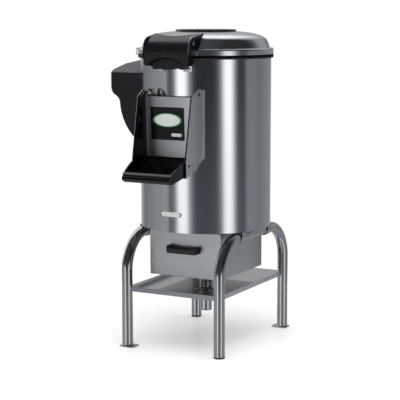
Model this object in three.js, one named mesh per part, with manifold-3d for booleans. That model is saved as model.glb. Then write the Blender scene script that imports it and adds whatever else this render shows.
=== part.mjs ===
// Electric potato peeler on a tubular stand, modelled in millimetres.
// +Z is up, the floor is Z = 0, the front faces -Y and the drum's axis is X = Y = 0 until
// the last lines, which move the origin under the middle of the whole machine.
import * as THREE from 'three';
import { mergeVertices } from 'three/addons/utils/BufferGeometryUtils.js';
import Module from 'manifold-3d';

const wasm = await Module();
wasm.setup();

// Fits and faceting
const gap = 0.3;              // between pieces that touch
const cut = 5;                // how far a cutter runs past the face it cuts
const weld = 0.0001;          // vertices closer than this are one
const drumSides = 48;
const tubeSides = 16;
const pinSides = 12;
const smallSides = 20;
const bendSteps = 6;
const cornerSteps = 3;

// Stand: two bent tubes, each one side of the machine
const tubeDiameter = 33;
const tubeWall = 2;
const standWidth = 316;       // between the two hoops' planes
const standDepth = 444;       // between the two legs of a hoop
const standOffset = 8.7;      // the stand's middle lies this far behind the drum's axis
const bendRadius = 110;
const footHeight = 5;
const plugHeight = 22;
const floorPlateThickness = 3;
const floorPlateLength = 51;
const floorPlateWidth = 40;
const floorPlateOuter = 20;   // from the leg's axis to the plate's outer end
const floorPlateCorner = 8;
const floorPlateHole = 4;
const shelfHeight = 186;      // its upper face
const shelfSheet = 2;
const shelfFold = 15;
const shelfDrainHole = 23;
const saddleStrap = 3;
const saddleWidth = 24;
const saddleFoot = 15;
const saddleInset = 22;       // from the bend's end to the saddle's middle

// Drum
const drumRadius = 200;
const drumWall = 2;
const drumBottom = 361;
const drumTop = 878;
const baseThickness = 3;
const baseLip = 20;
const floorRise = 199;        // from the drum's base to the chamber floor's upper face
const floorThickness = 4;
const liningThickness = 6;
const liningDrop = 10;        // below the drum's upper edge
const discClearance = 9.7;    // to the lining
const discThickness = 10;
const discRise = 40;          // over the chamber's floor
const discRimHeight = 7;
const discRimWidth = 9;
const waveCount = 3;
const waveRadius = 17;
const waveRise = 11;          // how far a wave stands over the disc
const waveInner = 30;
const hubRadius = 24;
const hubHeight = 16;
const capNutRadius = 15;
const capNutHeight = 9;

// Drive under the chamber's floor
const shaftRadius = 12;
const shaftDrop = 166;        // below the chamber's floor
const shaftInDisc = 6;
const bearingRadius = 23.5;
const bearingHeight = 14;
const bearingSpacing = 64;
const carrierFlangeRadius = 58;
const carrierFlange = 7;
const carrierWall = 12;
const carrierHeight = 98;
const carrierLip = 6;
const sealRadius = 17;
const pulleyHeight = 22;
const pulleyDrop = 160;
const pulleyRadius = 78;
const pulleyWeb = 6;
const pulleyRim = 9;
const pulleyHoles = 5;
const pulleyHoleRadius = 15;
const pulleyHoleCircle = 45;
const motorPulleyRadius = 22;
const beltGroove = 4;
const beltThickness = 5;
const beltHeight = 13;
const motorClearance = 17;    // to the drum's inside
const motorHeight = 104;
const motorFins = 5;
const motorBootHeight = 12;
const motorBootInset = 12;
const motorFlangeThickness = 7;
const motorFlangeInset = 6;   // at the motor's sides
const motorFlangeOverhang = 2; // in front of the motor and behind it
const motorShaftRadius = 7;
const motorShaftLength = 50;

// Ways for water and peel
const ductDistance = 120;
const ductRadius = 28;
const ductWall = 2;
const ductFlange = 6;
const inletDrop = 108;         // below the drum's upper edge
const inletLength = 42;
const inletRadius = 13;
const inletBore = 8;
const inletNutRadius = 20;
const inletNutThickness = 9;
const inletCollar = 3;

// Filter housing and its drawer
const housingSideClearance = 36;   // from a hoop's plane
const housingFrontClearance = 81.3; // from the front legs' plane
const housingRearClearance = 82.7;  // from the rear legs' plane
const housingHeight = 146;
const housingSheet = 2;
const housingLip = 14;
const housingLipClearance = 8;  // along the drum, from a saddle to the lip's end
const railHeight = 24;        // the drawer runs this far over the housing's floor
const railWidth = 14;
const drawerHeight = 88;
const drawerClearance = 2;
const drawerSheet = 2;
const drawerSlotBridge = 3.2; // between two slots in a row
const drawerSlotWidth = 8;
const drawerSlotRows = 7;
const drawerSlotColumns = 4;
const frontThickness = 3;
const frontReturn = 10;
const frontTopClearance = 3;
const gripLength = 102;
const gripThickness = 14;
const gripHeight = 21;
const gripReach = 28;
const gripRise = 85;           // over the housing's floor
const gripFoot = 24;
const gripFootRise = 7;
const drainRadius = 19;
const drainWall = 2;
const drainDrop = 98;          // below the shelf
const drainFlangeRadius = 32;
const drainFlange = 3;

// Lid
const lidOverhang = 7;
const lidLift = 3;             // over the drum's upper edge
const lidRimHeight = 25;
const lidRimCorner = 4;
const lidSheet = 2.5;
const domeSetBack = 17;        // from the rim
const domeStep = 8;            // over the rim
const domeRise = 43;
const domeRoundness = 3;
const domeSteps = 6;
const capRadius = 92.4;
const capRise = 4;             // over the dome
const capEdge = 4;
const lidSealWidth = 7;
const lidSealHeight = 9;
const hingeReach = 25;        // behind the lid's rim
const hingeRise = 12;         // over the rim's lower edge
const hingePinRadius = 4;
const hingeKnuckle = 9;
const hingeWidth = 76;
const hingeEarThickness = 5;
const hingePlateDrop = 66;     // below the drum's upper edge
const hingePlateMargin = 8;
const hingePlateThickness = 5;

// Lid latch
const latchPinReach = 13;      // in front of the lid's rim
const latchPinRise = 43;       // over the rim's lower edge
const latchPinRadius = 3;
const latchEarInside = 73;
const latchEarThickness = 3;
const latchEarHole = 3.3;
const earTipReach = -57;
const earTipRise = 75;
const earBrowReach = 26;
const earBrowRise = 59;
const earNoseReach = 40;
const earNoseRise = 40;
const earChinReach = 50;
const earJawReach = 31;
const earJawRise = -3;
const earRootReach = -19;      // inside the rim, so the lid cuts the ear to its seat
const earNapeReach = -29;
const earNapeRise = 45;
const earCorner = 6;
const hoodWall = 2.6;
const hoodReach = 44;
const hoodDrop = 23;           // below the rim's lower edge
const hoodFaceHeight = 63;
const hoodDepth = 81;
const hoodRise = 31;           // from its fold to its rear edge
const hoodFoldRadius = 20;
const archHalfWidth = 58;
const archRise = 23;
const hoodCorner = 11;
const leverBarrel = 5;
const leverSetBack = 13;       // behind the hood's face
const leverPlate = 3;
const leverHalfWidth = 69;
const leverOverhang = 10;      // below the hood
const leverBelly = 13;         // how far the lower edge curves down
const clawSpacing = 90;
const clawWidth = 13;
const clawThickness = 5;
const catchPlay = 0.5;        // between the claws and the keepers' noses
const keeperReach = 12;
const keeperDrop = 20;         // below the drum's upper edge
const keeperHeight = 17;
const keeperWidth = 24;
const keeperNoseThickness = 4;
const keeperPlate = 3;

// Outlet and discharge door
const cheekOutside = 91;
const cheekThickness = 2;
const doorPivotReach = 14;     // in front of the drum
const doorPivotRise = 217;     // over the chamber's floor
const doorPivotRadius = 4;
const cheekTopRise = 11;       // over the pivot
const cheekTopReach = 26;
const cheekShoulderReach = 57;
const cheekShoulderDrop = 6;   // below the pivot, as the knee, toe and heel
const cheekReach = 91;
const cheekKneeDrop = 187;
const cheekToeDrop = 239;
const cheekHeelDrop = 193;
const chuteSheet = 2;
const outletWidth = 140;
const outletRise = 46;         // over the chamber's floor
const outletHeight = 134;
const frameBorder = 9;
const frameReach = 2.5;        // in front of the drum
const doorSealThickness = 3;
const doorBackThickness = 3;
const doorSideClearance = 5;   // from the cheeks' outer faces
const doorWall = 3;
const doorSetBack = 4;        // the moulding lies this far behind the cheeks' front edges
const doorBackDrop = 25;       // below the pivot, as the tray and the panel
const doorToeClearance = 4.5; // between the moulding and the cheeks' lower edge
const doorEarRadius = 11;
const trayReach = 164;
const trayTaper = 7;
const trayRimDrop = 225;
const trayDrop = 249;
const trayFloor = 3;
const trayLip = 3;
const trayBarRadius = 8;
const trayBarSetBack = 3;
const trayChin = 9;             // how far the tray's lower front edge lies behind its rim
const trayBulge = 3;            // how far the tray's sides curve up over a straight line
const trayBarRise = 12;
const panelTopReach = 20;
const panelTopDrop = 9;
const panelBottomDrop = 187;
const panelSheet = 2;
const panelFlange = 8;
const panelEarRadius = 10;
const plateWidth = 112;
const plateHeight = 97;
const plateThickness = 1;
const plateCentreX = -12.5;
const plateDrop = 31;         // below the panel's top edge
const plateCorner = 3;

// Control housing on the drum's left side
const boxReach = 98;           // outside the drum
const boxFront = -70;
const boxBack = 110;
const boxFrontDrop = 32;
const boxMidDrop = 13;         // below the back's top
const boxMidY = 20;
const boxTopDrop = 19;         // below the drum's upper edge, at the back
const boxWallHeight = 74;      // the straight outer wall
const boxHeight = 257;
const boxNeckReach = 66;
const boxNeckDrop = 131;
const boxStrip = 16;
const boxStripProud = 2;
const buttonRadius = 11;
const buttonProud = 6;
const buttonPocket = 14;
const buttonTravel = 4;
const bezelWidth = 4;
const bezelProud = 2;
const controlDrop = 53;
const startButtonY = -38;
const stopButtonY = -4;
const timerY = 50;
const timerRadius = 17;
const timerHeight = 15;
const timerSkirt = 4;
const timerSkirtHeight = 3;
const timerGripWidth = 7;
const timerSpindle = 4;
const timerSpindleLength = 12;
const glandReach = 38;
const glandDrop = 124;
const glandNutRadius = 14;
const glandNutThickness = 6;
const glandRadius = 11;
const glandLength = 18;
const glandBore = 5.5;

// Places that follow from the sizes
const drumInside = drumRadius - drumWall;
const liningOutside = drumInside - gap;
const discRadius = liningOutside - liningThickness - discClearance;
const motorDistance = (drumRadius * 5) / 8;
const motorRadius = drumInside - motorDistance - motorClearance;
const saddleSpacing = standDepth - 2 * (bendRadius + saddleInset);
const floorHeight = drumBottom + floorRise;
const liningTop = drumTop - liningDrop;
const discTop = floorHeight + discRise;
const shaftBottom = floorHeight - shaftDrop;
const pulleyBottom = floorHeight - pulleyDrop;
const inletHeight = drumTop - inletDrop;
const housingWidth = standWidth - 2 * housingSideClearance;
const housingFront = standDepth / 2 - standOffset - housingFrontClearance;
const housingRear = standDepth / 2 + standOffset - housingRearClearance;
const housingBottom = drumBottom - housingHeight;
const gripLevel = housingBottom + gripRise;
const drainEnd = shelfHeight - drainDrop;
const lidRimRadius = drumRadius + lidOverhang;
const lidRimBottom = drumTop + lidLift;
const domeRadius = lidRimRadius - domeSetBack;
const domeFoot = lidRimBottom + lidRimHeight + domeStep;
const capTop = domeFoot + domeRise + capRise;
const hingePlateBottom = drumTop - hingePlateDrop;
const hingePlateTop = drumTop - hingePlateMargin;
const latchPinY = -lidRimRadius - latchPinReach;
const latchPinZ = lidRimBottom + latchPinRise;
const earTipY = -lidRimRadius - earTipReach;
const earBrowY = -lidRimRadius - earBrowReach;
const earNoseY = -lidRimRadius - earNoseReach;
const earChinY = -lidRimRadius - earChinReach;
const earJawY = -lidRimRadius - earJawReach;
const earNapeY = -lidRimRadius - earNapeReach;
const earRootY = -lidRimRadius - earRootReach;
const earTipZ = lidRimBottom + earTipRise;
const earBrowZ = lidRimBottom + earBrowRise;
const earNoseZ = lidRimBottom + earNoseRise;
const earChinZ = lidRimBottom;
const earJawZ = lidRimBottom + earJawRise;
const earNapeZ = lidRimBottom + earNapeRise;
const hoodFront = -lidRimRadius - hoodReach;
const hoodBottom = lidRimBottom - hoodDrop;
const hoodFold = hoodBottom + hoodFaceHeight;
const hoodBack = hoodFront + hoodDepth;
const hoodBackHeight = hoodFold + hoodRise;
const leverFront = hoodFront + leverSetBack;
const leverBottom = hoodBottom - leverOverhang;
const leverSide = leverBottom + leverBelly;
const keeperNose = -drumRadius - keeperReach;
const keeperTop = drumTop - keeperDrop;
const doorPivotY = -drumRadius - doorPivotReach;
const doorPivotZ = floorHeight + doorPivotRise;
const cheekTop = doorPivotZ + cheekTopRise;
const cheekTopFront = -drumRadius - cheekTopReach;
const cheekShoulderY = -drumRadius - cheekShoulderReach;
const cheekShoulderZ = doorPivotZ - cheekShoulderDrop;
const cheekFront = -drumRadius - cheekReach;
const cheekKneeZ = doorPivotZ - cheekKneeDrop;
const cheekToeZ = doorPivotZ - cheekToeDrop;
const cheekHeelZ = doorPivotZ - cheekHeelDrop;
const outletBottom = floorHeight + outletRise;
const frameFront = -drumRadius - frameReach;
const doorBackTop = doorPivotZ - doorBackDrop;
const trayFront = -drumRadius - trayReach;
const trayRimZ = doorPivotZ - trayRimDrop;
const trayBottomZ = doorPivotZ - trayDrop;
const panelTopY = -drumRadius - panelTopReach;
const panelTopZ = doorPivotZ - panelTopDrop;
const panelBottomZ = doorPivotZ - panelBottomDrop;
const doorHalfWidth = cheekOutside - doorSideClearance;
const trayTipHalfWidth = doorHalfWidth - trayTaper;
const boxOutside = -drumRadius - boxReach;
const boxBackTop = drumTop - boxTopDrop;
const boxMidTop = boxBackTop - boxMidDrop;
const boxFrontTop = boxBackTop - boxFrontDrop;
const boxWaist = boxBackTop - boxWallHeight;
const boxToe = boxBackTop - boxHeight;
const boxNeckX = -drumRadius - boxNeckReach;
const boxNeckZ = boxBackTop - boxNeckDrop;
const controlLevel = boxBackTop - controlDrop;
const glandX = -drumRadius - glandReach;
const glandZ = boxBackTop - glandDrop;
const tubeRadius = tubeDiameter / 2;
const hoopTop = drumBottom - gap - tubeRadius;
const hoopX = standWidth / 2;
const legFront = standOffset - standDepth / 2;
const legRear = standOffset + standDepth / 2;
const motorSeat = floorHeight - floorThickness - gap;
const ductX = -ductDistance * Math.SQRT1_2;
const ductY = -ductDistance * Math.SQRT1_2;
const hingeY = lidRimRadius + hingeReach;
const hingeZ = lidRimBottom + hingeRise;
const panelBottomY = frameFront - 2 * gap - doorSealThickness - doorBackThickness - gap - panelSheet;
const doorBackY = frameFront - gap - doorSealThickness - gap;

// Vectors and outlines
function at(x, y) {
  return new THREE.Vector2(x, y);
}

function circle(radius, sides, x = 0, y = 0) {
  const points = [];
  for (let i = 0; i < sides; i += 1) {
    const angle = (2 * Math.PI * i) / sides;
    points.push(at(x + radius * Math.cos(angle), y + radius * Math.sin(angle)));
  }
  return points;
}

// A corner is [u, v] or [u, v, radius]; a rounded one becomes a short arc.
function outline(corners, steps = cornerSteps) {
  const points = [];
  corners.forEach(([u, v, radius], i) => {
    if (!radius) {
      points.push(at(u, v));
      return;
    }
    const corner = at(u, v);
    const before = corners[(i + corners.length - 1) % corners.length];
    const after = corners[(i + 1) % corners.length];
    const toBefore = at(before[0] - u, before[1] - v).normalize();
    const toAfter = at(after[0] - u, after[1] - v).normalize();
    const half = Math.acos(toBefore.dot(toAfter)) / 2;
    const reach = radius / Math.tan(half);
    const centre = toBefore.clone().add(toAfter).normalize().multiplyScalar(radius / Math.sin(half));
    centre.add(corner);
    const start = toBefore.multiplyScalar(reach).add(corner).sub(centre);
    const end = toAfter.multiplyScalar(reach).add(corner).sub(centre);
    const turn = Math.atan2(start.cross(end), start.dot(end));
    for (let step = 0; step <= steps; step += 1) {
      points.push(start.clone().rotateAround(at(0, 0), (turn * step) / steps).add(centre));
    }
  });
  return points;
}

function rectangle(u0, u1, v0, v1, radius = 0) {
  return outline([[u0, v0, radius], [u1, v0, radius], [u1, v1, radius], [u0, v1, radius]]);
}

// Solids for cutting and joining
function solid(geometry) {
  const bare = geometry.index ? geometry.toNonIndexed() : geometry.clone();
  bare.deleteAttribute('normal');
  bare.deleteAttribute('uv');
  const merged = mergeVertices(bare, weld);
  const place = merged.attributes.position;
  const corners = [new THREE.Vector3(), new THREE.Vector3(), new THREE.Vector3()];
  const triangles = [];
  let volume = 0;
  for (let i = 0; i < merged.index.count; i += 3) {
    const face = [0, 1, 2].map((k) => merged.index.getX(i + k));
    if (new Set(face).size === 3) {
      triangles.push(face);
      face.forEach((vertex, k) => corners[k].fromBufferAttribute(place, vertex));
      volume += corners[0].dot(corners[1].clone().cross(corners[2]));
    }
  }
  const faces = volume < 0 ? triangles.map(([a, b, c]) => [a, c, b]) : triangles;
  return new wasm.Manifold(new wasm.Mesh({
    numProp: 3,
    vertProperties: new Float32Array(place.array),
    triVerts: new Uint32Array(faces.flat()),
  }));
}

function extruded(points, depth, holes = []) {
  const shape = new THREE.Shape(points);
  shape.holes = holes.map((hole) => new THREE.Path(hole));
  return new THREE.ExtrudeGeometry(shape, { depth, bevelEnabled: false });
}

function alongZ(points, z0, z1, holes) {
  return solid(extruded(points, z1 - z0, holes).translate(0, 0, z0));
}

// The outline is drawn in (y, z).
function alongX(points, x0, x1, holes) {
  const turn = new THREE.Matrix4().makeBasis(
    new THREE.Vector3(0, 1, 0),
    new THREE.Vector3(0, 0, 1),
    new THREE.Vector3(1, 0, 0),
  );
  return solid(extruded(points, x1 - x0, holes).applyMatrix4(turn).translate(x0, 0, 0));
}

// The outline is drawn in (x, z).
function alongY(points, y0, y1, holes) {
  return solid(extruded(points, y1 - y0, holes).rotateX(Math.PI / 2).translate(0, y1, 0));
}

function block(x0, x1, y0, y1, z0, z1) {
  const box = new THREE.BoxGeometry(x1 - x0, y1 - y0, z1 - z0);
  return solid(box.translate((x0 + x1) / 2, (y0 + y1) / 2, (z0 + z1) / 2));
}

function post(radius, z0, z1, x = 0, y = 0, sides = smallSides) {
  return alongZ(circle(radius, sides, x, y), z0, z1);
}

// The profile is drawn in (radius, height) and closes on itself or on the axis.
function turned(profile, sides = drumSides) {
  const closed = profile[0][0] === 0 ? profile : [...profile, profile[0]];
  const geometry = new THREE.LatheGeometry(closed.map(([r, z]) => at(r, z)), sides);
  return solid(geometry.rotateX(Math.PI / 2));
}

function ring(inner, outer, z0, z1, sides = drumSides) {
  return turned([[inner, z0], [outer, z0], [outer, z1], [inner, z1]], sides);
}

function joined(...solids) {
  return solids.reduce((sum, next) => sum.add(next));
}

function drumEnvelope(radius, z0 = 0, z1 = capTop + cut) {
  return turned([[0, z0], [radius, z0], [radius, z1], [0, z1]]);
}

// Finishes
function brushedSteel(shade = 0x9a9c9e) {
  return new THREE.MeshStandardMaterial({ color: shade, roughness: 0.34, metalness: 1 });
}

function blackPlastic() {
  return new THREE.MeshStandardMaterial({ color: 0x17191c, roughness: 0.42, metalness: 0 });
}

function rubber() {
  return new THREE.MeshStandardMaterial({ color: 0x101112, roughness: 0.8, metalness: 0 });
}

function castAluminium() {
  return new THREE.MeshStandardMaterial({ color: 0x8d9093, roughness: 0.55, metalness: 1 });
}

function abrasiveGrit() {
  return new THREE.MeshStandardMaterial({ color: 0x4a4744, roughness: 0.95, metalness: 0 });
}

function paint(color) {
  return new THREE.MeshStandardMaterial({ color, roughness: 0.4, metalness: 0 });
}

const machine = new THREE.Group();

function add(name, body, material) {
  const mesh = body.getMesh();
  const geometry = new THREE.BufferGeometry();
  geometry.setAttribute('position', new THREE.BufferAttribute(mesh.vertProperties, 3));
  geometry.setIndex(new THREE.BufferAttribute(mesh.triVerts, 1));
  geometry.computeVertexNormals();
  const piece = new THREE.Mesh(geometry, material);
  piece.name = name;
  machine.add(piece);
}

// The centre line of one hoop, with one step for each straight run and bendSteps for a bend.
class HoopCurve extends THREE.Curve {
  constructor(x, frontFoot, rearFoot) {
    super();
    this.x = x;
    this.frontFoot = frontFoot;
    this.rearFoot = rearFoot;
    this.steps = 2 * bendSteps + 3;
  }

  getUtoTmapping(u) {
    return u;
  }

  bend(y, sign, turn) {
    return new THREE.Vector3(
      this.x,
      y - sign * bendRadius * Math.cos(turn),
      hoopTop - bendRadius + bendRadius * Math.sin(turn),
    );
  }

  getPoint(t) {
    const step = THREE.MathUtils.clamp(t, 0, 1) * this.steps;
    const front = legFront + bendRadius;
    const rear = legRear - bendRadius;
    const shoulder = hoopTop - bendRadius;
    const quarter = Math.PI / 2;
    if (step <= 1) {
      const z = THREE.MathUtils.lerp(this.frontFoot, shoulder, step);
      return new THREE.Vector3(this.x, legFront, z);
    }
    if (step <= 1 + bendSteps) {
      return this.bend(front, 1, (quarter * (step - 1)) / bendSteps);
    }
    if (step <= 2 + bendSteps) {
      const y = THREE.MathUtils.lerp(front, rear, step - 1 - bendSteps);
      return new THREE.Vector3(this.x, y, hoopTop);
    }
    if (step <= 2 + 2 * bendSteps) {
      return this.bend(rear, -1, quarter * (1 - (step - 2 - bendSteps) / bendSteps));
    }
    const z = THREE.MathUtils.lerp(shoulder, this.rearFoot, step - 2 - 2 * bendSteps);
    return new THREE.Vector3(this.x, legRear, z);
  }
}

function hoop(x, frontFoot, rearFoot) {
  const path = new HoopCurve(x, frontFoot, rearFoot);
  const section = new THREE.Shape(circle(tubeRadius, tubeSides));
  section.holes = [new THREE.Path(circle(tubeRadius - tubeWall, tubeSides))];
  return solid(new THREE.ExtrudeGeometry(section, {
    steps: path.steps,
    extrudePath: path,
    bevelEnabled: false,
  }));
}

function plug(x, y, z) {
  return post(tubeRadius - tubeWall - gap, z - gap, z + plugHeight, x, y, tubeSides);
}

function footCap(x, y) {
  const sole = post(tubeRadius, 0, footHeight, x, y, tubeSides);
  return joined(sole, plug(x, y, footHeight));
}

function floorPlate(x, y, inward) {
  const outer = x - inward * floorPlateOuter;
  const inner = outer + inward * floorPlateLength;
  const shape = rectangle(
    Math.min(outer, inner),
    Math.max(outer, inner),
    y - floorPlateWidth / 2,
    y + floorPlateWidth / 2,
    floorPlateCorner,
  );
  const holeX = (inner + x + inward * tubeRadius) / 2;
  const plate = alongZ(shape, 0, floorPlateThickness, [circle(floorPlateHole, pinSides, holeX, y)]);
  return joined(plate, plug(x, y, floorPlateThickness));
}

function shelf() {
  const tray = block(-hoopX, hoopX, legFront, legRear, shelfHeight - shelfFold, shelfHeight);
  const under = block(
    -hoopX + shelfSheet,
    hoopX - shelfSheet,
    legFront + shelfSheet,
    legRear - shelfSheet,
    shelfHeight - shelfFold - cut,
    shelfHeight - shelfSheet,
  );
  let sheet = tray.subtract(under);
  for (const x of [-hoopX, hoopX]) {
    for (const y of [legFront, legRear]) {
      const leg = post(tubeRadius + gap, 0, shelfHeight + cut, x, y, tubeSides);
      sheet = sheet.subtract(leg);
    }
  }
  return sheet.subtract(post(shelfDrainHole, 0, shelfHeight + cut));
}

// A saddle hangs the drum's base on the hoop: a strap round the tube with a foot that
// reaches inwards under the base.
function saddle(x, y) {
  const inside = tubeRadius + gap;
  const outside = inside + saddleStrap;
  const top = drumBottom - gap;
  const inner = [];
  const outer = [];
  for (let i = 0; i <= tubeSides / 2; i += 1) {
    const angle = Math.PI + (2 * Math.PI * i) / tubeSides;
    inner.push([inside * Math.cos(angle), hoopTop + inside * Math.sin(angle)]);
    outer.unshift([outside * Math.cos(angle), hoopTop + outside * Math.sin(angle)]);
  }
  const corners = [
    ...inner,
    [inside, top],
    [outside + saddleFoot, top],
    [outside + saddleFoot, top - saddleStrap],
    [outside, top - saddleStrap],
    ...outer,
    [-outside, top],
    [-inside, top],
  ];
  const inward = -Math.sign(x);
  const shape = outline(corners.map(([u, z]) => [x + inward * u, z]));
  return alongY(shape, y - saddleWidth / 2, y + saddleWidth / 2);
}

function addStand() {
  const plateSeat = floorPlateThickness + gap;
  const capSeat = footHeight + gap;
  add('stand_hoop_left', hoop(-hoopX, plateSeat, capSeat), brushedSteel());
  add('stand_hoop_right', hoop(hoopX, capSeat, plateSeat), brushedSteel());
  add('floor_plate_front_left', floorPlate(-hoopX, legFront, 1), brushedSteel());
  add('floor_plate_rear_right', floorPlate(hoopX, legRear, -1), brushedSteel());
  add('foot_cap_front_right', footCap(hoopX, legFront), rubber());
  add('foot_cap_rear_left', footCap(-hoopX, legRear), rubber());
  add('shelf', shelf(), brushedSteel(0xb4b6b8));
  for (const [side, x] of [['left', -hoopX], ['right', hoopX]]) {
    for (const [end, sign] of [['front', -1], ['rear', 1]]) {
      const y = (sign * saddleSpacing) / 2;
      add(`drum_saddle_${end}_${side}`, saddle(x, y), brushedSteel(0x7c7f82));
    }
  }
}

function outletCutter(y0) {
  const half = outletWidth / 2;
  return block(-half, half, y0, 0, outletBottom, outletBottom + outletHeight);
}

function inletCutter(radius) {
  return alongY(circle(radius, smallSides, 0, inletHeight), 0, drumRadius + cut);
}

function abrasiveDisc() {
  const bottom = discTop - discThickness;
  const rimTop = discTop + discRimHeight;
  const rimFoot = discRadius - discRimWidth;
  let disc = turned([
    [0, bottom - hubHeight],
    [hubRadius, bottom - hubHeight],
    [hubRadius, bottom],
    [discRadius, bottom],
    [discRadius, rimTop],
    [rimFoot + discRimWidth / 3, rimTop],
    [rimFoot, discTop],
    [0, discTop],
  ]);
  const waveLength = rimFoot - waveInner;
  for (let i = 0; i < waveCount; i += 1) {
    const wave = solid(new THREE.CylinderGeometry(waveRadius, waveRadius, waveLength, smallSides)
      .rotateZ(Math.PI / 2)
      .translate(waveInner + waveLength / 2, 0, discTop + waveRise - waveRadius)
      .rotateZ((2 * Math.PI * i) / waveCount));
    const over = block(-discRadius, discRadius, -discRadius, discRadius, bottom + cut, rimTop + cut);
    disc = disc.add(wave.intersect(over));
  }
  disc = disc.add(post(capNutRadius, discTop - cut, discTop + capNutHeight, 0, 0, 6));
  const socketTop = discTop - discThickness + shaftInDisc + gap;
  return disc.subtract(post(shaftRadius + gap, bottom - hubHeight - cut, socketTop));
}

function addChamber() {
  const shell = ring(drumInside, drumRadius, drumBottom, drumTop)
    .subtract(outletCutter(-drumRadius - cut))
    .subtract(inletCutter(inletRadius + gap));
  add('drum_shell', shell, brushedSteel());
  const baseRadius = drumInside - gap;
  const base = turned([
    [0, drumBottom],
    [baseRadius, drumBottom],
    [baseRadius, drumBottom + baseLip],
    [baseRadius - baseThickness, drumBottom + baseLip],
    [baseRadius - baseThickness, drumBottom + baseThickness],
    [0, drumBottom + baseThickness],
  ]).subtract(post(ductRadius - ductWall, drumBottom - cut, floorHeight, ductX, ductY));
  add('drum_base', base, brushedSteel(0x7c7f82));
  const deck = turned([
    [0, floorHeight - floorThickness],
    [drumInside - gap, floorHeight - floorThickness],
    [drumInside - gap, floorHeight],
    [0, floorHeight],
  ])
    .subtract(post(ductRadius - ductWall, 0, floorHeight + cut, ductX, ductY))
    .subtract(post(sealRadius + gap, 0, floorHeight + cut));
  add('chamber_floor', deck, brushedSteel(0x7c7f82));
  const lining = ring(liningOutside - liningThickness, liningOutside, floorHeight + gap, liningTop)
    .subtract(outletCutter(-drumRadius))
    .subtract(inletCutter(inletRadius + gap));
  add('abrasive_lining', lining, abrasiveGrit());
  add('abrasive_disc', abrasiveDisc(), abrasiveGrit());
}

// A wheel with a groove for the belt, from its bore to its rim
function groovedWheel(radius, bore) {
  const top = pulleyBottom + pulleyHeight;
  const middle = pulleyBottom + pulleyHeight / 2;
  const grooveHalf = beltHeight / 2 + gap;
  return turned([
    [bore, pulleyBottom],
    [radius, pulleyBottom],
    [radius, middle - grooveHalf],
    [radius - beltGroove, middle - grooveHalf],
    [radius - beltGroove, middle + grooveHalf],
    [radius, middle + grooveHalf],
    [radius, top],
    [bore, top],
  ], smallSides);
}

function shaftPulley() {
  const middle = pulleyBottom + pulleyHeight / 2;
  const rimInside = pulleyRadius - beltGroove - pulleyRim;
  const hub = 2 * shaftRadius;
  let pulley = groovedWheel(pulleyRadius, shaftRadius + gap)
    .subtract(ring(hub, rimInside, middle + pulleyWeb / 2, floorHeight, smallSides))
    .subtract(ring(hub, rimInside, 0, middle - pulleyWeb / 2, smallSides));
  for (let i = 0; i < pulleyHoles; i += 1) {
    const angle = (2 * Math.PI * i) / pulleyHoles;
    const x = pulleyHoleCircle * Math.cos(angle);
    const y = pulleyHoleCircle * Math.sin(angle);
    pulley = pulley.subtract(post(pulleyHoleRadius, 0, floorHeight, x, y, pinSides));
  }
  return pulley;
}

function beltLoop(offset) {
  const large = pulleyRadius - beltGroove + offset;
  const small = motorPulleyRadius - beltGroove + offset;
  const lean = Math.asin((large - small) / motorDistance);
  const points = [];
  const wrap = (radius, y, from, to) => {
    const step = (to - from) / tubeSides;
    const reach = radius / Math.cos(step / 2);
    for (let i = 0; i <= tubeSides; i += 1) {
      const angle = from + step * i;
      points.push(at(reach * Math.cos(angle), y + reach * Math.sin(angle)));
    }
  };
  wrap(small, motorDistance, lean, Math.PI - lean);
  wrap(large, 0, Math.PI - lean, 2 * Math.PI + lean);
  return points;
}

function motorBody() {
  const top = motorSeat;
  const flangeBottom = top - motorFlangeThickness;
  const bottom = flangeBottom - motorHeight;
  const halfWidth = motorRadius - motorFlangeInset;
  const halfDepth = motorRadius + motorFlangeOverhang;
  const flange = alongZ(rectangle(
    -halfWidth,
    halfWidth,
    motorDistance - halfDepth,
    motorDistance + halfDepth,
    floorPlateCorner,
  ), flangeBottom, top);
  const fin = motorHeight / motorFins;
  const boot = motorRadius - motorBootInset;
  const profile = [[0, bottom - motorBootHeight], [boot, bottom - motorBootHeight]];
  for (let i = 0; i < motorFins; i += 1) {
    const radius = i % 2 ? motorRadius - fin / 3 : motorRadius;
    profile.push([radius, bottom + i * fin], [radius, bottom + (i + 1) * fin]);
  }
  profile.push([0, bottom + motorHeight]);
  const can = turned(profile, smallSides).translate([0, motorDistance, 0]);
  const holeTop = pulleyBottom + pulleyHeight + motorShaftLength + gap;
  const shaftHole = post(motorShaftRadius + gap, 0, holeTop, 0, motorDistance);
  return joined(flange, can).subtract(shaftHole);
}

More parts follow.
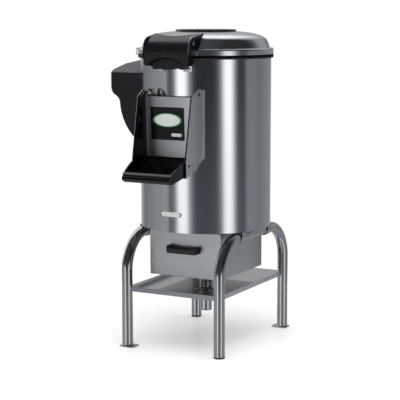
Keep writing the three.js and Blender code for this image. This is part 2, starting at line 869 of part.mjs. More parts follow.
function addDrive() {
  const shaftTop = discTop - discThickness + shaftInDisc;
  add('drive_shaft', post(shaftRadius, shaftBottom, shaftTop), castAluminium());
  const carrierTop = motorSeat;
  const bore = bearingRadius + gap;
  const carrier = turned([
    [bore, carrierTop - carrierHeight],
    [bore + carrierWall, carrierTop - carrierHeight],
    [bore + carrierWall, carrierTop - carrierFlange],
    [carrierFlangeRadius, carrierTop - carrierFlange],
    [carrierFlangeRadius, carrierTop],
    [sealRadius + gap, carrierTop],
    [sealRadius + gap, carrierTop - carrierLip],
    [bore, carrierTop - carrierLip],
  ], smallSides);
  add('bearing_carrier', carrier, castAluminium());
  const race = (z) => ring(shaftRadius + gap, bearingRadius, z, z + bearingHeight, smallSides);
  const upper = carrierTop - carrierLip - gap - bearingHeight;
  add('upper_bearing', race(upper), brushedSteel());
  add('lower_bearing', race(upper - bearingSpacing), brushedSteel());
  const sealRing = ring(shaftRadius + gap, sealRadius, carrierTop - carrierLip, floorHeight, smallSides);
  add('shaft_seal', sealRing, rubber());
  add('shaft_pulley', shaftPulley(), castAluminium());
  const middle = pulleyBottom + pulleyHeight / 2;
  const belt = alongZ(
    beltLoop(gap + beltThickness),
    middle - beltHeight / 2,
    middle + beltHeight / 2,
    [beltLoop(gap)],
  );
  add('drive_belt', belt, rubber());
  const small = groovedWheel(motorPulleyRadius, 0).translate([0, motorDistance, 0]);
  const spindleTop = pulleyBottom + pulleyHeight + motorShaftLength;
  const spindle = post(motorShaftRadius, pulleyBottom, spindleTop, 0, motorDistance);
  add('motor_pulley', joined(small, spindle), castAluminium());
  add('motor_body', motorBody(), paint(0x3b4550));
}

function wasteDuct() {
  const bottom = drumBottom + baseThickness + gap;
  const inside = ductRadius - ductWall;
  return turned([
    [inside, bottom],
    [ductRadius + ductFlange, bottom],
    [ductRadius + ductFlange, bottom + ductWall],
    [ductRadius, bottom + ductWall],
    [ductRadius, motorSeat - ductWall],
    [ductRadius + ductFlange, motorSeat - ductWall],
    [ductRadius + ductFlange, motorSeat],
    [inside, motorSeat],
  ], smallSides).translate([ductX, ductY, 0]);
}

// The hose tail passes through the drum and its lining and is clamped by a hexagon outside.
function waterInlet() {
  const inner = liningOutside - liningThickness;
  const outer = drumRadius + inletLength;
  const rod = (radius, y0, y1, sides = smallSides) => (
    alongY(circle(radius, sides, 0, inletHeight), y0, y1)
  );
  const nutFoot = drumRadius + gap;
  const tail = rod(inletRadius, inner, outer);
  const nut = rod(inletNutRadius, nutFoot, nutFoot + inletNutThickness, 6);
  const bead = rod(inletRadius + inletCollar, outer - 2 * inletCollar, outer - inletCollar);
  return joined(tail, nut, bead).subtract(rod(inletBore, inner - cut, outer + cut));
}

function addWaterWays() {
  add('waste_duct', wasteDuct(), rubber());
  add('water_inlet', waterInlet(), brushedSteel());
  const top = housingBottom - gap;
  const inside = drainRadius - drainWall;
  const pipe = turned([
    [inside, drainEnd],
    [drainRadius, drainEnd],
    [drainRadius, top - drainFlange],
    [drainFlangeRadius, top - drainFlange],
    [drainFlangeRadius, top],
    [inside, top],
  ], smallSides);
  add('drain_pipe', pipe, brushedSteel());
}

function filterHousing() {
  const half = housingWidth / 2;
  const top = drumBottom - gap;
  const outer = block(-half, half, -housingFront, housingRear, housingBottom, top);
  const inner = block(
    -half + housingSheet,
    half - housingSheet,
    -housingFront - cut,
    housingRear - housingSheet,
    housingBottom + housingSheet,
    top + cut,
  );
  const lipEnd = saddleSpacing / 2 - saddleWidth / 2 - housingLipClearance;
  const lips = joined(
    block(-half - housingLip, -half + housingSheet, -lipEnd, lipEnd, top - housingSheet, top),
    block(half - housingSheet, half + housingLip, -lipEnd, lipEnd, top - housingSheet, top),
  );
  const railTop = housingBottom + railHeight;
  const rail = (x0, x1) => block(
    x0,
    x1,
    -housingFront,
    housingRear - housingSheet,
    housingBottom + housingSheet / 2,
    railTop,
  ).subtract(block(
    x0 < 0 ? x0 - cut : x0 + housingSheet,
    x0 < 0 ? x1 - housingSheet : x1 + cut,
    -housingFront - cut,
    housingRear,
    housingBottom,
    railTop - housingSheet,
  ));
  const rails = joined(
    rail(-half + housingSheet / 2, -half + railWidth),
    rail(half - railWidth, half - housingSheet / 2),
  );
  const drainHole = post(drainRadius - drainWall, 0, railTop);
  return joined(outer.subtract(inner), lips, rails).subtract(drainHole);
}

function filterDrawer() {
  const half = housingWidth / 2 - housingSheet - drawerClearance;
  const bottom = housingBottom + railHeight + gap;
  const rear = housingRear - housingSheet - drawerClearance;
  const outer = block(-half, half, -housingFront, rear, bottom, bottom + drawerHeight);
  const inner = block(
    -half + drawerSheet,
    half - drawerSheet,
    -housingFront + drawerSheet,
    rear - drawerSheet,
    bottom + drawerSheet,
    bottom + drawerHeight + cut,
  );
  let tray = outer.subtract(inner);
  const pitchX = (2 * half) / (drawerSlotColumns + 1);
  const slotHalf = (pitchX - drawerSlotBridge) / 2;
  const pitchY = (rear + housingFront) / (drawerSlotRows + 1);
  for (let column = 1; column <= drawerSlotColumns; column += 1) {
    for (let row = 1; row <= drawerSlotRows; row += 1) {
      const x = -half + column * pitchX;
      const y = -housingFront + row * pitchY;
      tray = tray.subtract(block(
        x - slotHalf,
        x + slotHalf,
        y - drawerSlotWidth / 2,
        y + drawerSlotWidth / 2,
        bottom - cut,
        bottom + drawerSheet + cut,
      ));
    }
  }
  return tray;
}

function drawerFront() {
  const half = housingWidth / 2;
  const face = -housingFront - gap;
  const bottom = housingBottom;
  const top = drumBottom - frontTopClearance;
  const sheet = block(-half, half, face - frontThickness, face, bottom, top);
  const fold = block(-half, half, face - frontReturn, face - cut / 2, top - frontThickness, top);
  return joined(sheet, fold);
}

// A moulded bridge grip: two flared feet and a bar that bellies out between them.
function drawerHandle() {
  const face = -housingFront - gap - frontThickness - gap;
  const half = gripLength / 2;
  const out = face - gripReach;
  const plan = outline([
    [-half, face],
    [-half + gripFootRise / 2, out, gripThickness / 2],
    [half - gripFootRise / 2, out, gripThickness / 2],
    [half, face],
    [half - gripFoot, face],
    [half - gripFoot + gripFootRise / 2, out + gripThickness, gripThickness / 3],
    [-half + gripFoot - gripFootRise / 2, out + gripThickness, gripThickness / 3],
    [-half + gripFoot, face],
  ]);
  const bar = alongZ(plan, gripLevel - gripHeight / 2, gripLevel + gripHeight / 2 + gripFootRise);
  const dip = alongY(outline([
    [-half + gripFoot, gripLevel + gripHeight / 2, gripFootRise],
    [half - gripFoot, gripLevel + gripHeight / 2, gripFootRise],
    [half - gripFoot / 2, gripLevel + gripHeight / 2 + gripFootRise + cut],
    [-half + gripFoot / 2, gripLevel + gripHeight / 2 + gripFootRise + cut],
  ]), out - cut, face + cut);
  return bar.subtract(dip);
}

function addFilter() {
  add('filter_housing', filterHousing(), brushedSteel());
  add('filter_drawer', filterDrawer(), brushedSteel());
  add('drawer_front', drawerFront(), brushedSteel(0xa6a8a9));
  add('drawer_handle', drawerHandle(), blackPlastic());
}

function domeHeight(share) {
  return domeFoot + domeRise * (1 - share ** domeRoundness) ** (1 / domeRoundness);
}

// The lid's outer profile from the rim's lower edge to the top, grown outwards by a margin.
function lidProfile(margin) {
  const rimTop = lidRimBottom + lidRimHeight;
  const profile = [
    [lidRimRadius + margin, lidRimBottom - margin],
    [lidRimRadius + margin, rimTop - lidRimCorner + margin],
    [lidRimRadius - lidRimCorner + margin, rimTop + margin],
    [domeRadius + lidRimCorner + margin, rimTop + margin],
    [domeRadius + margin, rimTop + lidRimCorner + margin],
  ];
  for (let i = 0; i < domeSteps; i += 1) {
    const share = Math.cos((Math.PI / 2) * (i / domeSteps) ** 1.5);
    profile.push([(domeRadius + margin) * share, domeHeight(share) + margin]);
  }
  return [...profile, [0, domeHeight(0) + margin]];
}

function lidEnvelope(margin) {
  return turned([[0, lidRimBottom - margin], ...lidProfile(margin)]);
}

function lidDome() {
  const inside = lidProfile(-lidSheet);
  inside[0] = [lidRimRadius - lidSheet, lidRimBottom - cut];
  return lidEnvelope(0).subtract(turned([[0, lidRimBottom - cut], ...inside]));
}

function lidCap() {
  const body = turned([
    [0, domeFoot],
    [capRadius, domeFoot],
    [capRadius, capTop - capEdge],
    [capRadius - capEdge / 2, capTop],
    [0, capTop],
  ]);
  return body.subtract(lidEnvelope(gap));
}

function hingeBracket() {
  const half = hingeWidth / 2;
  const knuckle = circle(hingeKnuckle, pinSides, hingeY, hingeZ);
  const arm = [
    [drumRadius - cut, hingePlateBottom],
    [drumRadius + hingePlateThickness, hingePlateBottom],
    [hingeY + hingeKnuckle, hingeZ],
    [hingeY - hingeKnuckle, hingeZ],
    [drumRadius + hingeKnuckle, hingePlateTop],
    [drumRadius - cut, hingePlateTop],
  ];
  const ear = (x0) => joined(
    alongX(outline(arm), x0, x0 + hingeEarThickness),
    alongX(knuckle, x0, x0 + hingeEarThickness),
  );
  const back = block(
    -half,
    half,
    drumRadius * Math.cos(half / drumRadius) - cut,
    drumRadius + hingePlateThickness,
    hingePlateBottom,
    hingePlateTop,
  );
  const pinHole = alongX(circle(hingePinRadius + gap, pinSides, hingeY, hingeZ), -half - cut, half + cut);
  return joined(back, ear(-half), ear(half - hingeEarThickness))
    .subtract(drumEnvelope(drumRadius + gap))
    .subtract(pinHole);
}

function hingeLeaf() {
  const half = hingeWidth / 2 - hingeEarThickness - gap;
  const bar = alongX(outline([
    [lidRimRadius - cut, hingeZ - hingeKnuckle / 2],
    [hingeY, hingeZ - hingeKnuckle],
    [hingeY, hingeZ + hingeKnuckle],
    [lidRimRadius - cut, hingeZ + hingeKnuckle],
  ]), -half, half);
  const knuckle = alongX(circle(hingeKnuckle, pinSides, hingeY, hingeZ), -half, half);
  const bore = alongX(circle(hingePinRadius + gap, pinSides, hingeY, hingeZ), -half - cut, half + cut);
  return joined(bar, knuckle).subtract(lidEnvelope(gap)).subtract(bore);
}

function addLid() {
  add('lid_dome', lidDome(), brushedSteel(0x707376));
  add('lid_cap', lidCap(), blackPlastic());
  const sealOutside = lidRimRadius - lidSheet - gap;
  const seal = ring(
    sealOutside - lidSealWidth,
    sealOutside,
    drumTop + gap,
    drumTop + gap + lidSealHeight,
  );
  add('lid_seal', seal, rubber());
  const half = hingeWidth / 2;
  add('lid_hinge_bracket', hingeBracket(), brushedSteel(0x7c7f82));
  add('lid_hinge_leaf', hingeLeaf(), brushedSteel(0x7c7f82));
  const pin = alongX(circle(hingePinRadius, pinSides, hingeY, hingeZ), -half, half);
  add('lid_hinge_pin', pin, brushedSteel());
}

// Each ear is a plate cut to sit on the lid's rim and dome and to carry the latch's pin.
function latchEar(side) {
  const shape = outline([
    [earTipY, earTipZ, earCorner / 2],
    [earBrowY, earBrowZ, earCorner],
    [earNoseY, earNoseZ, earCorner],
    [earChinY, earChinZ, earCorner / 2],
    [earJawY, earJawZ, earCorner],
    [earRootY, earChinZ + latchEarThickness],
    [earRootY, lidRimBottom + lidRimHeight],
    [earNapeY, earNapeZ, earCorner],
  ]);
  const pinHole = circle(latchEarHole, pinSides, latchPinY, latchPinZ);
  const inner = latchEarInside;
  const outer = latchEarInside + latchEarThickness;
  const plate = side < 0 ? alongX(shape, -outer, -inner, [pinHole]) : alongX(shape, inner, outer, [pinHole]);
  return plate.subtract(lidEnvelope(gap));
}

function latchHood() {
  const half = latchEarInside - gap;
  const section = outline([
    [hoodFront, hoodBottom],
    [hoodFront, hoodFold, hoodFoldRadius],
    [hoodBack, hoodBackHeight],
    [hoodBack, hoodBackHeight - hoodWall],
    [hoodFront + hoodWall, hoodFold - hoodWall / 2, hoodFoldRadius - hoodWall],
    [hoodFront + hoodWall, hoodBottom],
  ]);
  const skin = alongX(section, -half, half);
  const archRadius = (archHalfWidth ** 2 + archRise ** 2) / (2 * archRise);
  const archCentre = hoodBottom + archRise - archRadius;
  const arch = alongY(circle(archRadius, drumSides, 0, archCentre), hoodFront - cut, leverFront);
  const face = alongY(outline([
    [-half, hoodBottom, hoodCorner],
    [half, hoodBottom, hoodCorner],
    [half, capTop],
    [-half, capTop],
  ]), hoodFront - cut, 0);
  return skin.intersect(face).subtract(arch).subtract(lidEnvelope(gap));
}

function latchLever() {
  const width = leverHalfWidth;
  const back = leverFront + leverPlate;
  const barrel = alongX(circle(leverBarrel, pinSides, latchPinY, latchPinZ), -width, width);
  const web = alongX(outline([
    [latchPinY, latchPinZ + leverBarrel / 2],
    [leverFront, latchPinZ - 2 * leverBarrel],
    [leverFront, leverBottom - cut],
    [back, leverBottom - cut],
    [back, latchPinZ - 2 * leverBarrel - leverPlate / 2],
    [latchPinY, latchPinZ - leverBarrel / 2],
  ]), -width, width);
  const belly = leverSide - leverBottom;
  const bellyRadius = (width ** 2 + belly ** 2) / (2 * belly);
  const bellyCut = alongY(
    circle(bellyRadius, drumSides * 2, 0, leverBottom + bellyRadius),
    leverFront - cut,
    back + cut,
  );
  const upper = block(-width, width, leverFront - cut, 0, leverSide, capTop);
  let lever = joined(web.intersect(joined(bellyCut, upper)), barrel);
  const clawTop = keeperTop - keeperNoseThickness - 2 * gap;
  for (const x of [-clawSpacing / 2, clawSpacing / 2]) {
    const claw = (y0, y1, z1) => block(
      x - clawWidth / 2,
      x + clawWidth / 2,
      y0,
      y1,
      clawTop - clawThickness,
      z1,
    );
    const root = claw(leverFront + leverPlate / 2, back + leverPlate, leverSide + leverPlate);
    const hook = claw(back, keeperNose - catchPlay, clawTop);
    lever = joined(lever, root, hook);
  }
  const bore = circle(latchPinRadius + gap, pinSides, latchPinY, latchPinZ);
  return lever.subtract(alongX(bore, -width - cut, width + cut));
}

function keeper(x) {
  const back = -drumRadius + cut;
  const shape = outline([
    [back, keeperTop],
    [keeperNose, keeperTop],
    [keeperNose, keeperTop - keeperNoseThickness],
    [-drumRadius - keeperPlate, keeperTop - keeperNoseThickness],
    [-drumRadius - keeperPlate, keeperTop - keeperHeight],
    [back, keeperTop - keeperHeight],
  ]);
  return alongX(shape, x - keeperWidth / 2, x + keeperWidth / 2)
    .subtract(drumEnvelope(drumRadius + gap));
}

function addLatch() {
  add('latch_ear_left', latchEar(-1), brushedSteel());
  add('latch_ear_right', latchEar(1), brushedSteel());
  add('latch_hood', latchHood(), blackPlastic());
  add('latch_lever', latchLever(), blackPlastic());
  const pinHalf = latchEarInside + latchEarThickness;
  const pin = alongX(circle(latchPinRadius, pinSides, latchPinY, latchPinZ), -pinHalf, pinHalf);
  add('latch_pin', pin, brushedSteel());
  add('latch_keeper_left', keeper(-clawSpacing / 2), brushedSteel());
  add('latch_keeper_right', keeper(clawSpacing / 2), brushedSteel());
}

// The height of the cheeks' lower edge at a place in front of the drum
function cheekEdge(y) {
  const share = (y + drumRadius - doorEarRadius) / (cheekFront + drumRadius - doorEarRadius);
  return THREE.MathUtils.lerp(cheekHeelZ, cheekToeZ, share);
}

function cheek(side) {
  const heel = -drumRadius / 2;
  const shape = outline([
    [heel, cheekTop],
    [cheekTopFront, cheekTop, cheekThickness * 2],
    [cheekShoulderY, cheekShoulderZ, cheekThickness * 2],
    [cheekFront, cheekKneeZ],
    [cheekFront, cheekToeZ],
    [heel, cheekEdge(heel)],
  ]);
  const inner = cheekOutside - cheekThickness;
  const sheet = side < 0
    ? alongX(shape, -cheekOutside, -inner)
    : alongX(shape, inner, cheekOutside);
  const studInner = doorHalfWidth - doorWall - gap - panelSheet;
  const stud = side < 0
    ? alongX(circle(doorPivotRadius, pinSides, doorPivotY, doorPivotZ), -inner - gap, -studInner)
    : alongX(circle(doorPivotRadius, pinSides, doorPivotY, doorPivotZ), studInner, inner + gap);
  return joined(sheet.subtract(drumEnvelope(drumRadius + gap)), stud);
}

function chuteFloor() {
  const half = cheekOutside - cheekThickness - gap;
  const heel = -drumRadius / 2;
  const toe = cheekFront + chuteSheet;
  const shape = outline([
    [heel, cheekEdge(heel)],
    [toe, cheekEdge(toe)],
    [toe, cheekEdge(toe) + chuteSheet],
    [heel, cheekEdge(heel) + chuteSheet],
  ]);
  return alongX(shape, -half, half).subtract(drumEnvelope(drumRadius + gap));
}

function outletFrame() {
  const half = outletWidth / 2;
  const top = outletBottom + outletHeight;
  const outer = block(
    -half - frameBorder,
    half + frameBorder,
    frameFront,
    -drumRadius / 2,
    outletBottom - frameBorder,
    top + frameBorder,
  );
  const inner = block(-half, half, frameFront - cut, 0, outletBottom, top);
  return outer.subtract(inner).subtract(drumEnvelope(drumRadius + gap));
}

function leaning(y) {
  const lean = (panelTopY - panelBottomY) / (panelTopZ - panelBottomZ);
  return (z) => y + lean * (z - panelBottomZ);
}

// The steel panel leans back, has a flange along each side and is hung by two ears.
function doorPanel() {
  const half = doorHalfWidth - doorWall - gap;
  const face = leaning(panelBottomY);
  const back = leaning(panelBottomY + panelSheet);
  const lip = leaning(panelBottomY - panelFlange);
  const sheet = alongX(outline([
    [face(panelBottomZ), panelBottomZ],
    [face(panelTopZ), panelTopZ],
    [back(panelTopZ), panelTopZ],
    [back(panelBottomZ), panelBottomZ],
  ]), -half, half);
  const flangeShape = outline([
    [lip(panelBottomZ), panelBottomZ, panelSheet],
    [lip(panelTopZ), panelTopZ, panelSheet],
    [face(panelTopZ) + panelSheet / 2, panelTopZ],
    [face(panelBottomZ) + panelSheet / 2, panelBottomZ],
  ]);
  const arm = outline([
    [lip(panelTopZ) + panelSheet, panelTopZ - panelSheet],
    [doorPivotY - panelEarRadius, doorPivotZ],
    [doorPivotY, doorPivotZ - panelEarRadius],
    [back(panelTopZ - 4 * panelFlange), panelTopZ - 4 * panelFlange],
  ]);
  const eye = circle(panelEarRadius, smallSides, doorPivotY, doorPivotZ);
  const side = (x0) => joined(
    alongX(flangeShape, x0, x0 + panelSheet),
    alongX(arm, x0, x0 + panelSheet),
    alongX(eye, x0, x0 + panelSheet),
  );
  const hole = circle(doorPivotRadius + gap, pinSides, doorPivotY, doorPivotZ);
  return joined(sheet, side(-half), side(half - panelSheet))
    .subtract(alongX(hole, -half - cut, half + cut));
}

// The tray narrows towards its tip.
function tapered(points, half) {
  const geometry = extruded(points, 2 * half).applyMatrix4(new THREE.Matrix4().makeBasis(
    new THREE.Vector3(0, 1, 0),
    new THREE.Vector3(0, 0, 1),
    new THREE.Vector3(1, 0, 0),
  )).translate(-half, 0, 0);
  const place = geometry.attributes.position;
  const shrink = doorHalfWidth - trayTipHalfWidth;
  for (let i = 0; i < place.count; i += 1) {
    const share = THREE.MathUtils.clamp((place.getY(i) - cheekFront) / (trayFront - cheekFront), 0, 1);
    place.setX(i, place.getX(i) - Math.sign(place.getX(i)) * shrink * share);
  }
  return solid(geometry);
}

// The upper edge of the tray's sides bulges on its way down from the cheeks to the rim.
function traySide(knee) {
  const start = [cheekFront, knee - doorSetBack / 2];
  const points = [];
  for (let i = 0; i <= bendSteps; i += 1) {
    const share = i / bendSteps;
    points.push([
      THREE.MathUtils.lerp(start[0], trayFront, share),
      THREE.MathUtils.lerp(start[1], trayRimZ, share) + trayBulge * Math.sin(Math.PI * share),
    ]);
  }
  return points;
}

// The moulding is one shell: two side walls that hang on the pivots, a back that carries
// the seal, a floor that slopes down to the front and a tray that serves as the handle.
function doorBody() {
  const backRear = doorBackY;
  const backFront = doorBackY - doorBackThickness;
  const toe = cheekFront + doorSetBack;
  const toeFloor = cheekEdge(toe) + doorToeClearance;
  const heelFloor = cheekEdge(backRear) + doorToeClearance + trayFloor;
  const knee = cheekKneeZ;
  const walls = outline([
    [backRear, heelFloor, trayFloor],
    [backRear, doorBackTop],
    [doorPivotY + doorEarRadius, doorPivotZ],
    [doorPivotY + doorEarRadius / 2, doorPivotZ + doorEarRadius * Math.sin(Math.PI / 3)],
    [doorPivotY, doorPivotZ + doorEarRadius],
    [cheekTopFront, cheekTop - doorSetBack],
    [cheekShoulderY + doorSetBack, cheekShoulderZ - doorSetBack],
    [toe, knee],
    [toe, toeFloor],
  ]);
  const cavity = outline([
    [backFront, heelFloor + trayFloor, trayFloor],
    [backFront, doorBackTop],
    [backRear + cut, doorBackTop],
    [backRear + cut, cheekTop + cut],
    [cheekFront - cut, cheekTop + cut],
    [cheekFront - cut, toeFloor + trayFloor],
    [toe, toeFloor + trayFloor],
  ]);
  const inner = doorHalfWidth - doorWall;
  const upright = alongX(walls, -doorHalfWidth, doorHalfWidth).subtract(alongX(cavity, -inner, inner));
  const tray = tapered(outline([
    [toe, toeFloor],
    [toe, knee],
    ...traySide(knee),
    [trayFront + trayChin, trayBottomZ],
    [cheekFront, toeFloor - trayFloor / 3],
  ]), doorHalfWidth);
  const well = tapered(outline([
    [toe + cut, toeFloor + trayFloor],
    [toe + cut, knee + cut],
    [cheekFront, knee + cut],
    [trayFront + trayLip, knee + cut],
    [trayFront + trayChin + trayLip, trayBottomZ + trayFloor],
    [cheekFront, toeFloor + trayFloor - trayFloor / 3],
  ]), inner);
  const barHole = alongX(
    circle(trayBarRadius + gap, smallSides, trayFront + trayBarSetBack, trayBottomZ + trayBarRise),
    -doorHalfWidth - cut,
    doorHalfWidth + cut,
  );
  const pivotHole = alongX(
    circle(doorPivotRadius + gap, pinSides, doorPivotY, doorPivotZ),
    -doorHalfWidth - cut,
    doorHalfWidth + cut,
  );
  return joined(upright, tray.subtract(well)).subtract(barHole).subtract(pivotHole);
}

function namePlate() {
  const face = leaning(panelBottomY - gap);
  const front = leaning(panelBottomY - gap - plateThickness);
  const top = panelTopZ - plateDrop;
  const bottom = top - plateHeight;
  const slab = alongX(outline([
    [face(bottom), bottom],
    [front(bottom), bottom],
    [front(top), top],
    [face(top), top],
  ]), plateCentreX - plateWidth / 2, plateCentreX + plateWidth / 2);
  const mask = rectangle(
    plateCentreX - plateWidth / 2,
    plateCentreX + plateWidth / 2,
    bottom,
    top,
    plateCorner,
  );
  return slab.intersect(alongY(mask, panelTopY - drumRadius, 0));
}

function addOutlet() {
  add('chute_cheek_left', cheek(-1), brushedSteel(0x85888c));
  add('chute_cheek_right', cheek(1), brushedSteel(0x85888c));
  add('chute_floor', chuteFloor(), brushedSteel(0x7c7f82));
  add('outlet_frame', outletFrame(), brushedSteel(0x7c7f82));
  add('door_panel', doorPanel(), brushedSteel());
  add('door_body', doorBody(), blackPlastic());
  const half = outletWidth / 2 + frameBorder;
  const sealRear = frameFront - gap;
  const seal = block(
    -half,
    half,
    sealRear - doorSealThickness,
    sealRear,
    outletBottom - frameBorder,
    outletBottom + outletHeight + frameBorder,
  );
  add('door_seal', seal, rubber());
  add('door_name_plate', namePlate(), blackPlastic());
  const barHalf = trayTipHalfWidth;
  const bar = alongX(
    circle(trayBarRadius, smallSides, trayFront + trayBarSetBack, trayBottomZ + trayBarRise),
    -barHalf,
    barHalf,
  );
  add('tray_grip_bar', bar, blackPlastic());
}

function controlHousing() {
  const body = new THREE.Shape();
  body.moveTo(boxOutside, boxBackTop);
  body.lineTo(boxOutside, boxWaist);
  const shoulderX = (boxOutside + boxNeckX) / 2;
  const shoulderZ = (boxWaist + boxNeckZ) / 2;
  body.quadraticCurveTo(boxOutside, shoulderZ + (boxWaist - shoulderZ) / 4, shoulderX, shoulderZ);
  body.quadraticCurveTo(boxNeckX, shoulderZ - (shoulderZ - boxNeckZ) / 3, boxNeckX, boxNeckZ);
  const tipX = -drumRadius * Math.cos(Math.asin(boxFront / drumRadius));
  const bellyZ = (boxNeckZ + boxToe) / 2 - (boxNeckZ - boxToe) / 12;
  body.quadraticCurveTo(boxNeckX + (boxNeckX - boxOutside) / 4, bellyZ, tipX, boxToe);
  body.lineTo(-drumRadius / 2, boxToe);
  body.lineTo(-drumRadius / 2, boxBackTop);
  const front = alongY(body.getPoints(2 * cornerSteps), boxFront, boxBack);
  const side = alongX(outline([
    [boxFront, boxToe - cut],
    [boxBack, boxToe - cut],
    [boxBack, boxBackTop],
    [boxMidY, boxMidTop],
    [boxFront, boxFrontTop],
  ]), boxOutside - cut, 0);
  const stripX = tipX - boxStrip;
  const strip = block(
    stripX,
    stripX + boxStrip + cut,
    boxFront - boxStripProud,
    boxFront + cut,
    boxWaist - boxStrip,
    boxFrontTop - boxStripProud,
  );
  const facing = (radius, y, x0, x1, sides = smallSides) => (
    alongX(circle(radius, sides, y, controlLevel), x0, x1)
  );
  let housing = joined(front.intersect(side), strip);
  for (const y of [startButtonY, stopButtonY]) {
    const bezel = facing(buttonRadius + gap + bezelWidth, y, boxOutside - bezelProud, boxOutside + cut);
    const pocket = facing(buttonRadius + gap, y, boxOutside - cut, boxOutside + buttonPocket);
    housing = housing.add(bezel).subtract(pocket);
  }
  const spindle = facing(timerSpindle + gap, timerY, boxOutside - cut, boxOutside + timerSpindleLength + gap);
  return housing.subtract(spindle).subtract(drumEnvelope(drumRadius + gap));
}

function button(y) {
  const inner = boxOutside + buttonPocket - buttonTravel - gap;
  return alongX(circle(buttonRadius, smallSides, y, controlLevel), boxOutside - buttonProud, inner);
}

function timerKnob() {
  const seat = boxOutside - gap;
  const facing = (radius, x0, x1) => alongX(circle(radius, smallSides, timerY, controlLevel), x0, x1);
  const skirt = facing(timerRadius + timerSkirt, seat - timerSkirtHeight, seat);
  const grip = block(
    seat - timerHeight,
    seat - timerSkirtHeight / 2,
    timerY - timerGripWidth / 2,
    timerY + timerGripWidth / 2,
    controlLevel - timerRadius,
    controlLevel + timerRadius,
  );
  const boss = facing(timerRadius / 2, seat - timerHeight + timerSkirt, seat - timerSkirtHeight / 2);
  const spindle = facing(timerSpindle, seat - timerSkirtHeight / 2, boxOutside + timerSpindleLength);
  return joined(skirt, grip, boss, spindle);
}

function cableGland() {
  const seat = boxBack + gap;
  const facing = (radius, y0, y1, sides) => alongY(circle(radius, sides, glandX, glandZ), y0, y1);
  const nut = facing(glandNutRadius, seat, seat + glandNutThickness, 6);
  const neck = facing(glandRadius, seat, seat + glandLength, smallSides);
  const bore = facing(glandBore, seat + glandNutThickness, seat + glandLength + cut, pinSides);
  return joined(nut, neck).subtract(bore);
}

function addControls() {
  add('control_housing', controlHousing(), blackPlastic());
  add('start_button', button(startButtonY), paint(0x1f7a3c));
  add('stop_button', button(stopButtonY), paint(0xb3221c));
  add('timer_knob', timerKnob(), blackPlastic());
  add('cable_gland', cableGland(), blackPlastic());
}

addStand();
addChamber();
addDrive();
addWaterWays();
addFilter();
addLid();
addLatch();
addOutlet();
addControls();

// The origin is on the floor under the middle of the machine.
const extent = new THREE.Box3().setFromObject(machine);
const middle = extent.getCenter(new THREE.Vector3());
machine.position.set(-middle.x, -middle.y, 0);
machine.updateMatrixWorld(true);

export default machine;
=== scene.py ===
"""Looks of a floor-standing electric potato peeler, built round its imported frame.

Every size is in millimetres from the drum's axis and the floor, unless it says otherwise, and
Assembly.at turns it into metres in the frame's own place.
"""

import logging
import math
from dataclasses import dataclass, replace
from enum import Enum
from typing import Dict, List, Optional, Sequence, Tuple, Union

import bpy
from mathutils import Matrix, Vector


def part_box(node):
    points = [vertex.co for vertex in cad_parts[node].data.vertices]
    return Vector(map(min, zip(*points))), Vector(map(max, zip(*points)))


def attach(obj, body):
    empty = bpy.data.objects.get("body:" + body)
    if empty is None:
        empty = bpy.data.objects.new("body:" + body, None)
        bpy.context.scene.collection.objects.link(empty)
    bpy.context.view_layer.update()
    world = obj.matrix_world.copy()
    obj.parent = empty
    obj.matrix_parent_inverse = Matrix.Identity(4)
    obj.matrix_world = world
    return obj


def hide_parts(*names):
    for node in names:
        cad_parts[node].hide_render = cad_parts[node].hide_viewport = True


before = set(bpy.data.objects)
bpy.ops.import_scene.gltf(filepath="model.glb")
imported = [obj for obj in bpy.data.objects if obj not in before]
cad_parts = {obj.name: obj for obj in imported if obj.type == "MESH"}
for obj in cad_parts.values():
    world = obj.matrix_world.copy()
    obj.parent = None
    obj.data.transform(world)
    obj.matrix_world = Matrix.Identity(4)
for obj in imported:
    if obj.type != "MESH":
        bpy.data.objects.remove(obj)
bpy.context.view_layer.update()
LOG = logging.getLogger("peeler")
MM = 0.001
Point = Tuple[float, float]
Colour = Tuple[float, float, float, float]
Piece = bpy.types.Object


class Axis(Enum):
    """The line that a rod, slab or turned piece follows."""

    X = (1, 0, 0)
    Y = (0, 1, 0)
    Z = (0, 0, 1)


class Cut(Enum):
    """What one solid does to another."""

    AWAY = "DIFFERENCE"
    SHARED = "INTERSECT"
    WELD = "UNION"


class Body(Enum):
    """The parts that move as one."""

    MACHINE = "machine"
    LID = "lid"
    LATCH = "latch"
    DOOR = "door"
    DRAWER = "drawer"
    DISC = "disc"
    ROTOR = "rotor"
    START = "start"
    STOP = "stop"
    TIMER = "timer"


class Grain(Enum):
    """How far a brushed grain is stretched along X, Y and Z, in waves a metre."""

    UPRIGHT = (420.0, 420.0, 5.0)
    ACROSS = (5.0, 420.0, 420.0)
    DEEP = (420.0, 5.0, 420.0)
    TURNED = (1.0, 600.0, 600.0)


def arc(centre: Point, radius: float, start: float, end: float, steps: int) -> List[Point]:
    """Points on an arc.

    Args:
        centre: The arc's centre.
        radius: Its radius.
        start: The first angle in degrees.
        end: The last angle in degrees.
        steps: How many chords it has.

    Returns:
        The points, both ends included.
    """
    turns = [math.radians(start + (end - start) * i / steps) for i in range(steps + 1)]
    return [(centre[0] + radius * math.cos(a), centre[1] + radius * math.sin(a)) for a in turns]


